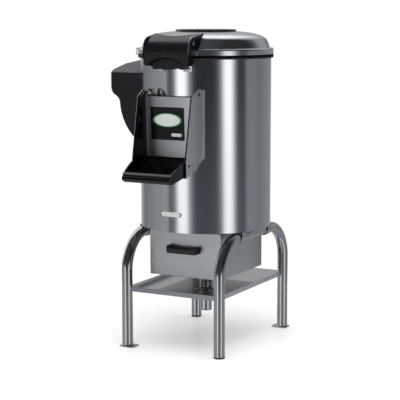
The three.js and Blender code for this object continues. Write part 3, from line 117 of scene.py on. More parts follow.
def rounded(corners: Sequence[Sequence[float]], steps: int = 8) -> List[Point]:
    """An outline whose corners may be rounded.

    Args:
        corners: Each corner as (u, v) or (u, v, radius).
        steps: How many chords a rounded corner has.

    Returns:
        The outline's points in order.
    """
    points: List[Point] = []
    for i, corner in enumerate(corners):
        here = Vector(corner[:2])
        radius = corner[2] if len(corner) > 2 else 0
        if not radius:
            points.append((here.x, here.y))
            continue
        back = (Vector(corners[i - 1][:2]) - here).normalized()
        ahead = (Vector(corners[(i + 1) % len(corners)][:2]) - here).normalized()
        half = math.acos(max(-1.0, min(1.0, back.dot(ahead)))) / 2
        centre = here + (back + ahead).normalized() * radius / math.sin(half)
        first = here + back * radius / math.tan(half) - centre
        last = here + ahead * radius / math.tan(half) - centre
        turn = math.atan2(first.x * last.y - first.y * last.x, first.dot(last))
        for step in range(steps + 1):
            spoke = Matrix.Rotation(turn * step / steps, 2) @ first
            points.append((centre.x + spoke.x, centre.y + spoke.y))
    return points


def box(u0: float, u1: float, v0: float, v1: float, radius: float = 0,
        steps: int = 8) -> List[Point]:
    """A rectangle's outline.

    Args:
        u0: Its low side.
        u1: Its high side.
        v0: Its lower edge.
        v1: Its upper edge.
        radius: How far its corners are rounded.
        steps: How many chords a corner has.

    Returns:
        The outline's points in order.
    """
    return rounded([(u0, v0, radius), (u1, v0, radius), (u1, v1, radius), (u0, v1, radius)], steps)


def drum_axis() -> Vector:
    """The foot of the drum's axis, which all sizes are measured from."""
    low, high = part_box("drum_shell")
    return Vector(((low.x + high.x) / 2, (low.y + high.y) / 2, 0))


class Assembly:
    """How every sub-assembly draws, cuts, rounds and dresses its pieces."""

    axis = drum_axis()

    def at(self, line: Axis, u: float, v: float, along: float) -> Vector:
        """A place in the frame.

        Args:
            line: The line that the piece follows.
            u: Across it: Y for a piece along X, and otherwise X.
            v: Across it: Y for a piece along Z, and otherwise Z.
            along: How far along the line.

        Returns:
            The place in metres.
        """
        place = {Axis.X: (along, u, v), Axis.Y: (u, along, v), Axis.Z: (u, v, along)}[line]
        return self.axis + Vector(place) * MM

    def pick(self, *pieces: Piece) -> None:
        """Selects these pieces alone and makes the first one active.

        Args:
            pieces: The pieces.
        """
        bpy.ops.object.select_all(action="DESELECT")
        for piece in pieces:
            piece.select_set(True)
        bpy.context.view_layer.objects.active = pieces[0]

    def edit(self, piece: Piece) -> None:
        """Takes a piece into edit mode with all of it selected.

        Args:
            piece: The piece.
        """
        self.pick(piece)
        bpy.ops.object.mode_set(mode="EDIT")
        bpy.ops.mesh.select_all(action="SELECT")

    def modified(self, piece: Piece, kind: str, **settings: object) -> Piece:
        """Adds a modifier to a piece and applies it.

        Args:
            piece: The piece.
            kind: The modifier's type.
            settings: What is set on it.

        Returns:
            The piece.
        """
        modifier = piece.modifiers.new(kind, kind)
        for name, value in settings.items():
            setattr(modifier, name, value)
        self.pick(piece)
        bpy.ops.object.modifier_apply(modifier=modifier.name)
        return piece

    def trace(self, name: str, places: Sequence[Vector]) -> Piece:
        """Draws a chain of vertices and leaves it in edit mode with all of it selected.

        Args:
            name: The piece's name.
            places: The chain's places in metres.

        Returns:
            The piece.
        """
        bpy.ops.object.select_all(action="DESELECT")
        bpy.ops.mesh.primitive_plane_add(size=MM, location=places[0])
        piece = bpy.context.object
        piece.name = name
        bpy.ops.object.mode_set(mode="EDIT")
        bpy.ops.mesh.select_mode(type="VERT")
        bpy.ops.mesh.merge(type="CENTER")
        for start, end in zip(places, places[1:]):
            bpy.ops.mesh.extrude_vertices_move(TRANSFORM_OT_translate={"value": end - start})
        bpy.ops.mesh.select_all(action="SELECT")
        return piece

    def close(self, piece: Piece) -> Piece:
        """Merges seams, turns the faces outwards and puts the piece's place in its mesh.

        Args:
            piece: The piece in edit mode.

        Returns:
            The same piece in object mode.
        """
        bpy.ops.mesh.select_all(action="SELECT")
        bpy.ops.mesh.remove_doubles(threshold=MM / 100)
        bpy.ops.mesh.delete_loose()
        bpy.ops.mesh.select_all(action="SELECT")
        bpy.ops.mesh.normals_make_consistent(inside=False)
        bpy.ops.object.mode_set(mode="OBJECT")
        bpy.ops.object.transform_apply(location=True, rotation=True, scale=True)
        return piece

    def slab(self, name: str, outline: Sequence[Point], line: Axis, low: float,
             high: float) -> Piece:
        """A flat outline pulled along a line.

        Args:
            name: The piece's name.
            outline: The outline across the line.
            line: The line it is pulled along.
            low: Where it starts.
            high: Where it ends.

        Returns:
            The closed piece.
        """
        piece = self.trace(name, [self.at(line, u, v, low) for u, v in outline])
        bpy.ops.mesh.edge_face_add()
        pull = Vector(line.value) * (high - low) * MM
        bpy.ops.mesh.extrude_region_move(TRANSFORM_OT_translate={"value": pull})
        return self.close(piece)

    def turned(self, name: str, profile: Sequence[Point], line: Axis = Axis.Z,
               centre: Point = (0, 0), steps: int = 96) -> Piece:
        """A profile of (radius, height) spun round a line.

        Args:
            name: The piece's name.
            profile: The profile, closed on itself or on the line.
            line: The line it spins round.
            centre: Where the line crosses its plane.
            steps: How many facets it has.

        Returns:
            The closed piece.
        """
        u, v = centre
        piece = self.trace(name, [self.at(line, u + r, v, h) for r, h in profile])
        bpy.ops.mesh.spin(steps=steps, angle=2 * math.pi, center=self.at(line, u, v, 0),
                          axis=line.value)
        return self.close(piece)

    def ring(self, name: str, inner: float, outer: float, low: float, high: float,
             line: Axis = Axis.Z, centre: Point = (0, 0), corner: float = 0,
             steps: int = 96) -> Piece:
        """A turned ring with rounded corners.

        Args:
            name: The piece's name.
            inner: Its bore's radius.
            outer: Its outer radius.
            low: Where it starts along the line.
            high: Where it ends.
            line: The line it spins round.
            centre: Where the line crosses its plane.
            corner: How far its corners are rounded.
            steps: How many facets it has.

        Returns:
            The closed piece.
        """
        section = box(inner, outer, low, high, corner, 4)
        return self.turned(name, [*section, section[0]], line, centre, steps)

    def rod(self, name: str, radius: float, low: float, high: float, line: Axis = Axis.Z,
            centre: Point = (0, 0), corner: float = 0, steps: int = 48) -> Piece:
        """A turned rod with rounded ends.

        Args:
            name: The piece's name.
            radius: Its radius.
            low: Where it starts along the line.
            high: Where it ends.
            line: The line it spins round.
            centre: Where the line crosses its plane.
            corner: How far its ends are rounded.
            steps: How many facets it has.

        Returns:
            The closed piece.
        """
        if corner:
            profile = [(0, low), *arc((radius - corner, low + corner), corner, -90, 0, 4),
                       *arc((radius - corner, high - corner), corner, 0, 90, 4), (0, high)]
        else:
            profile = [(0, low), (radius, low), (radius, high), (0, high)]
        return self.turned(name, profile, line, centre, steps)

    def merge(self, piece: Piece, *tools: Piece,
              cut: Cut = Cut.AWAY) -> Piece:
        """Cuts tools out of a piece, keeps what they share, or welds them on.

        Args:
            piece: The piece that stays.
            tools: The pieces that are used up.
            cut: What is done with them.

        Returns:
            The piece.
        """
        for tool in tools:
            self.modified(piece, "BOOLEAN", operation=cut.value, solver="EXACT", object=tool)
            bpy.data.objects.remove(tool)
        return piece

    def resealed(self, piece: Piece) -> Piece:
        """Joins the doubled points that a cut left in a piece."""
        self.edit(piece)
        return self.close(piece)

    def gather(self, piece: Piece, *others: Piece) -> Piece:
        """Joins loose fittings to a piece.

        Args:
            piece: The piece, which keeps its name.
            others: The fittings.

        Returns:
            The piece.
        """
        self.pick(piece, *others)
        bpy.ops.object.join()
        return piece

    def soften(self, piece: Piece, width: float, segments: int = 3,
               angle: float = 30) -> Piece:
        """Rounds the sharp edges.

        Args:
            piece: The piece.
            width: How far each edge is rounded.
            segments: How many strips a rounded edge has.
            angle: The least angle in degrees that counts as sharp.

        Returns:
            The piece.
        """
        return self.modified(piece, "BEVEL", width=width * MM, segments=segments,
                             limit_method="ANGLE", angle_limit=math.radians(angle),
                             miter_outer="MITER_ARC")

    def reworked(self, node: str, name: str, width: float = 0.5, segments: int = 2,
                 angle: float = 30) -> Piece:
        """A copy of a frame node with its flats made whole and its edges rounded.

        Args:
            node: The frame node.
            name: The copy's name.
            width: How far its edges are rounded.
            segments: How many strips a rounded edge has.
            angle: The least angle in degrees that counts as sharp.

        Returns:
            The copy.
        """
        piece = self.linked(name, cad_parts[node].data.copy())
        self.edit(piece)
        bpy.ops.mesh.remove_doubles(threshold=MM / 1000)
        bpy.ops.mesh.dissolve_limited(angle_limit=math.radians(0.5))
        bpy.ops.object.mode_set(mode="OBJECT")
        return self.soften(piece, width, segments, angle) if width else piece

    def headed_pin(self, name: str, radius: float, reach: float, centre: Point, corner: float,
                   head: float, thick: float) -> Piece:
        """A pin along X with a rounded head at each end.

        Args:
            name: The pin's name.
            radius: Its radius.
            reach: How far it reaches to each side of the drum's axis.
            centre: Its place as (y, z).
            corner: How far its ends are rounded.
            head: The heads' radius.
            thick: The heads' thickness.

        Returns:
            The pin.
        """
        pin = self.rod(name, radius, -reach, reach, Axis.X, centre, corner)
        cap = self.rod("pin_head", head, reach, reach + thick, Axis.X, centre, 1.2)
        other = self.again(cap, "pin_head", self.mirrored(Axis.X))
        return self.gather(pin, cap, other)

    def moved(self, x: float = 0, y: float = 0, z: float = 0) -> Matrix:
        """A move in millimetres."""
        return Matrix.Translation(Vector((x, y, z)) * MM)

    def mirrored(self, *lines: Axis) -> Matrix:
        """A mirroring across the drum's axis, along one line or two."""
        signs = Matrix.Diagonal([-1 if line in lines else 1 for line in Axis] + [1])
        return Matrix.Translation(self.axis) @ signs @ Matrix.Translation(-self.axis)

    def wheeled(self, degrees: float, line: Axis, centre: Point) -> Matrix:
        """A turn round a line that crosses its plane at a centre."""
        hub = Matrix.Translation(self.at(line, *centre, 0))
        return hub @ Matrix.Rotation(math.radians(degrees), 4, Vector(line.value)) @ hub.inverted()

    def linked(self, name: str, data: bpy.types.ID) -> Piece:
        """A new object in the scene.

        Args:
            name: Its name.
            data: Its mesh, light or camera.

        Returns:
            The object.
        """
        made = bpy.data.objects.new(name, data)
        bpy.context.scene.collection.objects.link(made)
        return made

    def again(self, piece: Piece, name: str, step: Matrix) -> Piece:
        """A second one of a piece.

        Args:
            piece: The piece that is copied, before it is dressed.
            name: The copy's name.
            step: How the copy is moved, mirrored or wheeled.

        Returns:
            The copy with its own mesh.
        """
        copy = self.linked(name, piece.data.copy())
        copy.data.transform(step)
        if step.determinant() < 0:
            self.edit(copy)
            bpy.ops.mesh.normals_make_consistent(inside=False)
            bpy.ops.object.mode_set(mode="OBJECT")
        return copy

    def dress(self, piece: Piece, finish: "Finish", body: Body, *replaced: str,
              angle: float = 32) -> Piece:
        """Shades a piece, gives it its finish and puts it on its body.

        Args:
            piece: The piece.
            finish: Its finish.
            body: The body that it rides on.
            replaced: The frame nodes that it stands for.
            angle: The angle in degrees up to which its faces are shaded as one.

        Returns:
            The piece.
        """
        self.pick(piece)
        bpy.ops.object.shade_smooth_by_angle(angle=math.radians(angle))
        self.modified(piece, "WEIGHTED_NORMAL", keep_sharp=True)
        piece.data.materials.clear()
        piece.data.materials.append(finish.material())
        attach(piece, body.value)
        if replaced:
            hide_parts(*replaced)
        LOG.info("%s: %d faces, %s, on %s", piece.name, len(piece.data.polygons), finish.name,
                 body.value)
        return piece

    def remake(self, node: str, name: str, finish: "Finish", body: Body, width: float = 0.5,
               segments: int = 2, angle: float = 32) -> None:
        """Puts a reworked copy of a frame node in its place.

        Args:
            node: The frame node.
            name: The copy's name.
            finish: Its finish.
            body: The body that it rides on.
            width: How far its edges are rounded.
            segments: How many strips a rounded edge has.
            angle: The angle in degrees up to which its faces are shaded as one.
        """
        self.dress(self.reworked(node, name, width, segments), finish, body, node, angle=angle)

    def dress_node(self, node: str, finish: "Finish") -> None:
        """Gives a frame node that is shown as it is its finish.

        Args:
            node: The frame node.
            finish: The finish.
        """
        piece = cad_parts[node]
        piece.data.materials.clear()
        piece.data.materials.append(finish.material())
        LOG.info("%s: kept, %s", node, finish.name)


# Finishes


@dataclass(frozen=True)
class Signal:
    """A socket in a node tree, with maths written as ordinary expressions."""

    palette: "Palette"
    socket: bpy.types.NodeSocket

    def math(self, operation: str, *values: "Value") -> "Signal":
        """One Math node on this value and others."""
        return self.palette.node("Math", {"operation": operation}, list(values))

    def __add__(self, other: "Value") -> "Signal":
        """The sum."""
        return self.math("ADD", self, other)

    def __sub__(self, other: "Value") -> "Signal":
        """The difference."""
        return self.math("SUBTRACT", self, other)

    def __rsub__(self, other: "Value") -> "Signal":
        """The difference, the other way round."""
        return self.math("SUBTRACT", other, self)

    def __mul__(self, other: "Value") -> "Signal":
        """The product."""
        return self.math("MULTIPLY", self, other)

    def __truediv__(self, other: "Value") -> "Signal":
        """The quotient."""
        return self.math("DIVIDE", self, other)

    def __pow__(self, other: "Value") -> "Signal":
        """The power."""
        return self.math("POWER", self, other)

    __radd__ = __add__
    __rmul__ = __mul__

    def above(self, edge: float, width: float) -> "Signal":
        """A soft step.

        Args:
            edge: Where it is halfway up.
            width: How wide the rise is.

        Returns:
            A value from 0 to 1.
        """
        settings = {"interpolation_type": "SMOOTHSTEP"}
        inputs = {"Value": self, "From Min": edge - width / 2, "From Max": edge + width / 2}
        return self.palette.node("MapRange", settings, inputs)


Value = Union[Signal, float]


class Palette:
    """A node tree that a finish or the studio is mixed in."""

    def __init__(self, tree: bpy.types.NodeTree) -> None:
        """Empties the tree."""
        self.tree = tree
        tree.nodes.clear()

    def node(self, kind: str, settings: Dict[str, object], inputs: Union[Sequence, Dict],
             output: Union[int, str] = 0) -> Signal:
        """Adds one node.

        Args:
            kind: The node's type after ShaderNode.
            settings: What is set on it first, with a ramp's stops as (place, colour).
            inputs: Values or links for its sockets, in order or by name.
            output: The socket that is used.

        Returns:
            The output's signal.
        """
        made = self.tree.nodes.new(f"ShaderNode{kind}")
        for name, value in settings.items():
            if name == "stops":
                self._fill(made.color_ramp, value)
            else:
                setattr(made, name, value)
        pairs = inputs.items() if isinstance(inputs, dict) else enumerate(inputs)
        for key, value in pairs:
            socket = made.inputs[key]
            if isinstance(value, Signal):
                self.tree.links.new(value.socket, socket)
            else:
                socket.default_value = value
        return Signal(self, made.outputs[output] if made.outputs else made.inputs[0])

    def _fill(self, ramp: bpy.types.ColorRamp, stops: Sequence[Tuple[float, Colour]]) -> None:
        """Sets a ramp's stops.

        Args:
            ramp: The ramp.
            stops: Each stop's place from 0 to 1 and its colour.
        """
        while len(ramp.elements) > 1:
            ramp.elements.remove(ramp.elements[-1])
        ramp.elements[0].position, ramp.elements[0].color = stops[0]
        for place, colour in stops[1:]:
            ramp.elements.new(place).color = colour

    def place(self, scale: Sequence[float] = (1, 1, 1), centre: Sequence[float] = (0, 0, 0),
              turn: Sequence[float] = (0, 0, 0)) -> Signal:
        """The place on the piece.

        Args:
            scale: What each direction is multiplied by.
            centre: The pattern's centre in metres.
            turn: How it is turned, in radians.

        Returns:
            The place as a vector.
        """
        spot = self.node("TexCoord", {}, [], "Object")
        shift = self.node("VectorMath", {"operation": "SUBTRACT"}, [spot, centre])
        inputs = {"Vector": shift, "Rotation": turn, "Scale": scale}
        return self.node("Mapping", {}, inputs)

    def noise(self, spot: Signal, scale: float = 1, detail: float = 3, rough: float = 0.5,
              twist: float = 0) -> Signal:
        """Cloudy noise from 0 to 1, about 0.5 in the middle.

        Args:
            spot: The place.
            scale: Waves for each unit of it.
            detail: How many finer layers it has.
            rough: How strong these are.
            twist: How far it is distorted.

        Returns:
            The value.
        """
        inputs = {"Vector": spot, "Scale": scale, "Detail": detail, "Roughness": rough,
                  "Distortion": twist}
        return self.node("TexNoise", {}, inputs)

    def tint(self, mask: Value, low: Union[Signal, Colour], high: Union[Signal, Colour]) -> Signal:
        """A colour between two.

        Args:
            mask: 0 for the first and 1 for the second.
            low: The first colour.
            high: The second colour.

        Returns:
            The colour.
        """
        return self.node("Mix", {"data_type": "RGBA"}, {0: mask, 6: low, 7: high}, 2)

    def relief(self, height: Signal, depth: float, strength: float = 1,
               under: Optional[Signal] = None) -> Signal:
        """A normal that follows a height.

        Args:
            height: The height from 0 to 1.
            depth: What 1 stands for, in millimetres.
            strength: How much of it shows.
            under: The normal that it adds to, if not the surface's own.

        Returns:
            The normal.
        """
        inputs = {"Strength": strength, "Distance": depth * MM, "Height": height}
        if under:
            inputs["Normal"] = under
        return self.node("Bump", {}, inputs)

    def levels(self, stops: Sequence[Point], reach: float, spot: Signal) -> Signal:
        """A level looked up by place.

        Args:
            stops: Places from -reach to reach, each with its level of up to 2.
            reach: The last place.
            spot: The place.

        Returns:
            The level.
        """
        filled = [((place / reach + 1) / 2, grey(level / 2)) for place, level in stops]
        return self.node("ValToRGB", {"stops": filled}, [(spot / reach + 1) / 2]) * 2

    def surface(self, **sockets: Union[Signal, float, Colour]) -> None:
        """Ends the tree in one shader.

        Args:
            sockets: The shader's sockets with _ for a space.
        """
        inputs = {name.replace("_", " "): value for name, value in sockets.items()}
        shader = self.node("BsdfPrincipled", {}, inputs)
        self.node("OutputMaterial", {}, [shader])


def grey(level: float, warm: float = 0) -> Colour:
    """A grey, with a little more red than blue where warm is above 0."""
    return (level * (1 + warm), level, level * (1 - warm), 1)


def scaled(colour: Colour, share: float) -> Colour:
    """A colour made darker or lighter, up to white."""
    return tuple(min(1.0, part * share) for part in colour[:3]) + (1,)


MADE: Dict[str, bpy.types.Material] = {}


@dataclass(frozen=True)
class Finish:
    """What a surface looks like."""

    name: str
    slot: str

    def material(self) -> bpy.types.Material:
        """The finish's material, mixed the first time it is asked for.

        Returns:
            The material.
        """
        if self.name not in MADE:
            made = bpy.data.materials.new(self.name)
            made.use_nodes = True
            self.mix(Palette(made.node_tree))
            MADE[self.name] = made
        return MADE[self.name]

    def mix(self, palette: Palette) -> None:
        """Builds the finish's nodes.

        Args:
            palette: The material's nodes.
        """
        raise NotImplementedError


@dataclass(frozen=True)
class Steel(Finish):
    """Ground stainless sheet: fine scratches along the grain, broad faint streaks and smears.

    A crown is the radius in metres to which a sheet bulges about its centre along X.
    """

    level: float = 0.6
    roughness: float = 0.26
    grain: Grain = Grain.UPRIGHT
    depth: float = 0.02
    centre: Tuple[float, float, float] = (0, 0, 0)
    crown: float = 0

    def spot(self, palette: Palette) -> Signal:
        """The place stretched along the grain, which runs round the centre where it is turned.

        Args:
            palette: The material's nodes.

        Returns:
            The place as a vector.
        """
        if self.grain is not Grain.TURNED:
            return palette.place(self.grain.value)
        flat = palette.place(centre=self.centre)
        x, y, z = (palette.node("SeparateXYZ", {}, [flat], i) for i in range(3))
        radius = (x * x + y * y) ** 0.5
        angle = x.math("ARCTAN2", y, x)
        _, fine, tall = self.grain.value
        return palette.node("CombineXYZ", {}, [angle, radius * fine, z * tall])

    def mix(self, palette: Palette) -> None:
        """Builds the finish's nodes.

        Args:
            palette: The material's nodes.
        """
        spot = self.spot(palette)
        scratch = palette.noise(spot, 1, 4, 0.65)
        streak = palette.noise(spot, 0.11, 2, 0.5)
        smear = palette.noise(palette.place((6, 6, 4)), 1, 3, 0.55, 0.6)
        shade = scratch * 0.35 + streak * 0.45 + smear * 0.2
        colour = palette.tint(shade, grey(self.level * 0.82, -0.012),
                              grey(self.level * 1.14, -0.004))
        rough = self.roughness * (0.6 + scratch * 0.45 + smear * 0.35)
        bulge = None
        if self.crown:
            x = palette.node("SeparateXYZ", {}, [palette.place(centre=self.centre)])
            bulge = palette.relief(x * x * (-0.5 / self.crown), 1 / MM)
        palette.surface(Base_Color=colour, Metallic=1.0, Roughness=rough,
                        Normal=palette.relief(scratch, self.depth, under=bulge))


@dataclass(frozen=True)
class Moulding(Finish):
    """Moulded plastic with a fine spark-eroded skin, rubbed smoother in places."""

    colour: Colour = (0.012, 0.013, 0.015, 1)
    roughness: float = 0.36
    skin: float = 0.03
    coat: float = 0.0
    shine: float = 0.5

    def mix(self, palette: Palette) -> None:
        """Builds the finish's nodes.

        Args:
            palette: The material's nodes.
        """
        skin = palette.noise(palette.place(), 1500, 2, 0.6)
        rub = palette.noise(palette.place(), 22, 4, 0.6, 0.4)
        colour = palette.tint(rub * 0.75 + skin * 0.25, scaled(self.colour, 0.72),
                              scaled(self.colour, 1.3))
        rough = self.roughness + (rub - 0.5) * 0.2 + (skin - 0.5) * 0.08
        palette.surface(Base_Color=colour, Roughness=rough, Coat_Weight=self.coat,
                        Coat_Roughness=0.12, Specular_IOR_Level=self.shine,
                        Normal=palette.relief(skin, self.skin))


@dataclass(frozen=True)
class Rubber(Finish):
    """Soft black rubber with a dusty bloom."""

    level: float = 0.02

    def mix(self, palette: Palette) -> None:
        """Builds the finish's nodes.

        Args:
            palette: The material's nodes.
        """
        bloom = palette.noise(palette.place(), 45, 5, 0.65)
        pores = palette.noise(palette.place(), 2400, 1)
        colour = palette.tint(bloom, grey(self.level * 0.7), grey(self.level * 1.5, 0.03))
        rough = 0.62 + bloom * 0.28
        palette.surface(Base_Color=colour, Roughness=rough,
                        Normal=palette.relief(pores, 0.03))


@dataclass(frozen=True)
class Cast(Finish):
    """Sand-cast aluminium with a pebbly skin."""

    level: float = 0.5

    def mix(self, palette: Palette) -> None:
        """Builds the finish's nodes.

        Args:
            palette: The material's nodes.
        """
        skin = palette.noise(palette.place(), 420, 4, 0.7)
        cloud = palette.noise(palette.place(), 30, 3)
        colour = palette.tint(skin * 0.5 + cloud * 0.5, grey(self.level * 0.75),
                              grey(self.level * 1.2))
        palette.surface(Base_Color=colour, Metallic=1.0, Roughness=0.42 + skin * 0.22,
                        Normal=palette.relief(skin, 0.15))


@dataclass(frozen=True)
class Grit(Finish):
    """Abrasive grains bonded in dark resin, with bright facets on the crests."""

    level: float = 0.07
    grain: float = 900

    def mix(self, palette: Palette) -> None:
        """Builds the finish's nodes.

        Args:
            palette: The material's nodes.
        """
        spot = palette.place()
        cell = palette.node("TexVoronoi", {}, {"Vector": spot, "Scale": self.grain})
        crest = 1 - cell
        cloud = palette.noise(spot, 25, 4)
        sparkle = crest.above(0.82, 0.16)
        colour = palette.tint(cloud * 0.5 + crest * 0.5, grey(self.level * 0.6, 0.05),
                              grey(self.level * 1.5, 0.08))
        colour = palette.tint(sparkle * 0.5, colour, grey(0.32, 0.03))
        palette.surface(Base_Color=colour, Roughness=0.92 - sparkle * 0.35,
                        Normal=palette.relief(crest, 0.5, 0.9))


@dataclass(frozen=True)
class Paint(Finish):
    """Stoved enamel with a slight orange peel."""

    colour: Colour = (0.04, 0.055, 0.08, 1)

    def mix(self, palette: Palette) -> None:
        """Builds the finish's nodes.

        Args:
            palette: The material's nodes.
        """
        peel = palette.noise(palette.place(), 260, 1)
        dust = palette.noise(palette.place(), 18, 5, 0.6)
        colour = palette.tint(dust, self.colour, scaled(self.colour, 1.35))
        palette.surface(Base_Color=colour, Roughness=0.3 + dust * 0.25,
                        Coat_Weight=0.3, Normal=palette.relief(peel, 0.05))


@dataclass(frozen=True)
class Enamel(Finish):
    """A glossy printed inlay under clear resin, with a rim of a second colour."""

    colour: Colour = (0.8, 0.82, 0.8, 1)
    rim: Colour = (0.05, 0.3, 0.09, 1)
    centre: Tuple[float, float, float] = (0, 0, 0)
    reach: Tuple[float, float] = (1, 1)
    edge: float = 0.8

    def mix(self, palette: Palette) -> None:
        """Builds the finish's nodes.

        Args:
            palette: The material's nodes.
        """
        scale = (1 / self.reach[0], 0, 1 / self.reach[1])
        spot = palette.place(scale, self.centre)
        far = palette.node("VectorMath", {"operation": "LENGTH"}, [spot], "Value")
        fleck = palette.noise(palette.place(), 700, 2)
        face = palette.tint(fleck, scaled(self.colour, 0.94), self.colour)
        colour = palette.tint(far.above(self.edge, 0.05), face, self.rim)
        palette.surface(Base_Color=colour, Roughness=0.2 + fleck * 0.1,
                        Coat_Weight=0.6, Coat_Roughness=0.06,
                        Normal=palette.relief(fleck, 0.01))


SHELL = Steel("drum_sheet", "brushed_steel", 0.62, 0.14, Grain.UPRIGHT, 0.006)
SHEET = Steel("folded_sheet", "satin_steel", 0.62, 0.3, Grain.UPRIGHT, 0.008)
# The folded sheet's steel painted lighter for the chute's cheeks: painted light that stands in for
# light falling on them.
CHEEK_PAINTED_LIGHT = Steel("cheek_sheet_painted_light", "satin_steel", 0.76, 0.28, Grain.UPRIGHT, 0.006)
FACE = Steel("front_sheet", "satin_steel", 0.6, 0.34, Grain.ACROSS, 0.014)
UNDERSIDE = Steel("deck_sheet", "satin_steel", 0.42, 0.36, Grain.DEEP, 0.016)
SHELF = Steel("shelf_sheet", "polished_steel", 0.62, 0.03, Grain.ACROSS, 0.0004)
HATCH = Steel("hatch_sheet", "satin_steel", 0.56, 0.33, Grain.ACROSS, 0.003, crown=1.5)
TUBE = Steel("stand_tube", "brushed_steel", 0.5, 0.2, Grain.UPRIGHT, 0.005)
EAR = Steel("ear_sheet", "dark_steel", 0.09, 0.18, Grain.UPRIGHT, 0.003)
LID = Steel("lid_spun_sheet", "dark_steel", 0.64, 0.21, Grain.TURNED, 0.005)
BRIGHT = Steel("bright_fittings", "brushed_steel", 0.68, 0.16, Grain.ACROSS, 0.003)
DULL = Steel("bracket_sheet", "satin_steel", 0.5, 0.26, Grain.ACROSS, 0.01)
BLACKENED = Steel("blackened_steel", "satin_steel", 0.09, 0.4, Grain.ACROSS, 0.01)
CASING = Moulding("moulded_casing", "black_plastic", (0.005, 0.0055, 0.007, 1), 0.3, 0.02,
                  shine=0.36)
GLOSS = Moulding("moulded_gloss", "black_plastic", (0.0015, 0.0015, 0.002, 1), 0.16, 0.008)
HANDLE = Moulding("handle_plastic", "black_plastic", (0.008, 0.0085, 0.011, 1), 0.34, 0.03)
GREEN = Moulding("start_green", "green_plastic", (0.015, 0.2, 0.05, 1), 0.3, 0.01, 0.3)
RED = Moulding("stop_red", "red_plastic", (0.42, 0.02, 0.015, 1), 0.3, 0.01, 0.3)
WHITE = Moulding("white_marks", "black_plastic", (0.62, 0.62, 0.6, 1), 0.4, 0.01)
# Near-black with almost no reflection: painted shade in the finger arch and along the casing's
# join with the drum, and partly painted shade in the lid's rim band.
SHADE_BLACK = Moulding("painted_shade_black", "black_rubber", (0.001, 0.001, 0.0012, 1), 0.7, 0.05, shine=0.1)
RUBBER = Rubber("black_rubber", "black_rubber")
ALUMINIUM = Cast("cast_aluminium", "cast_aluminium")
LINING = Grit("lining_grit", "grit_lining", 0.075, 800)
DISC = Grit("disc_grit", "grit_disc", 0.05, 620)
MOTOR = Paint("motor_enamel", "motor_paint")


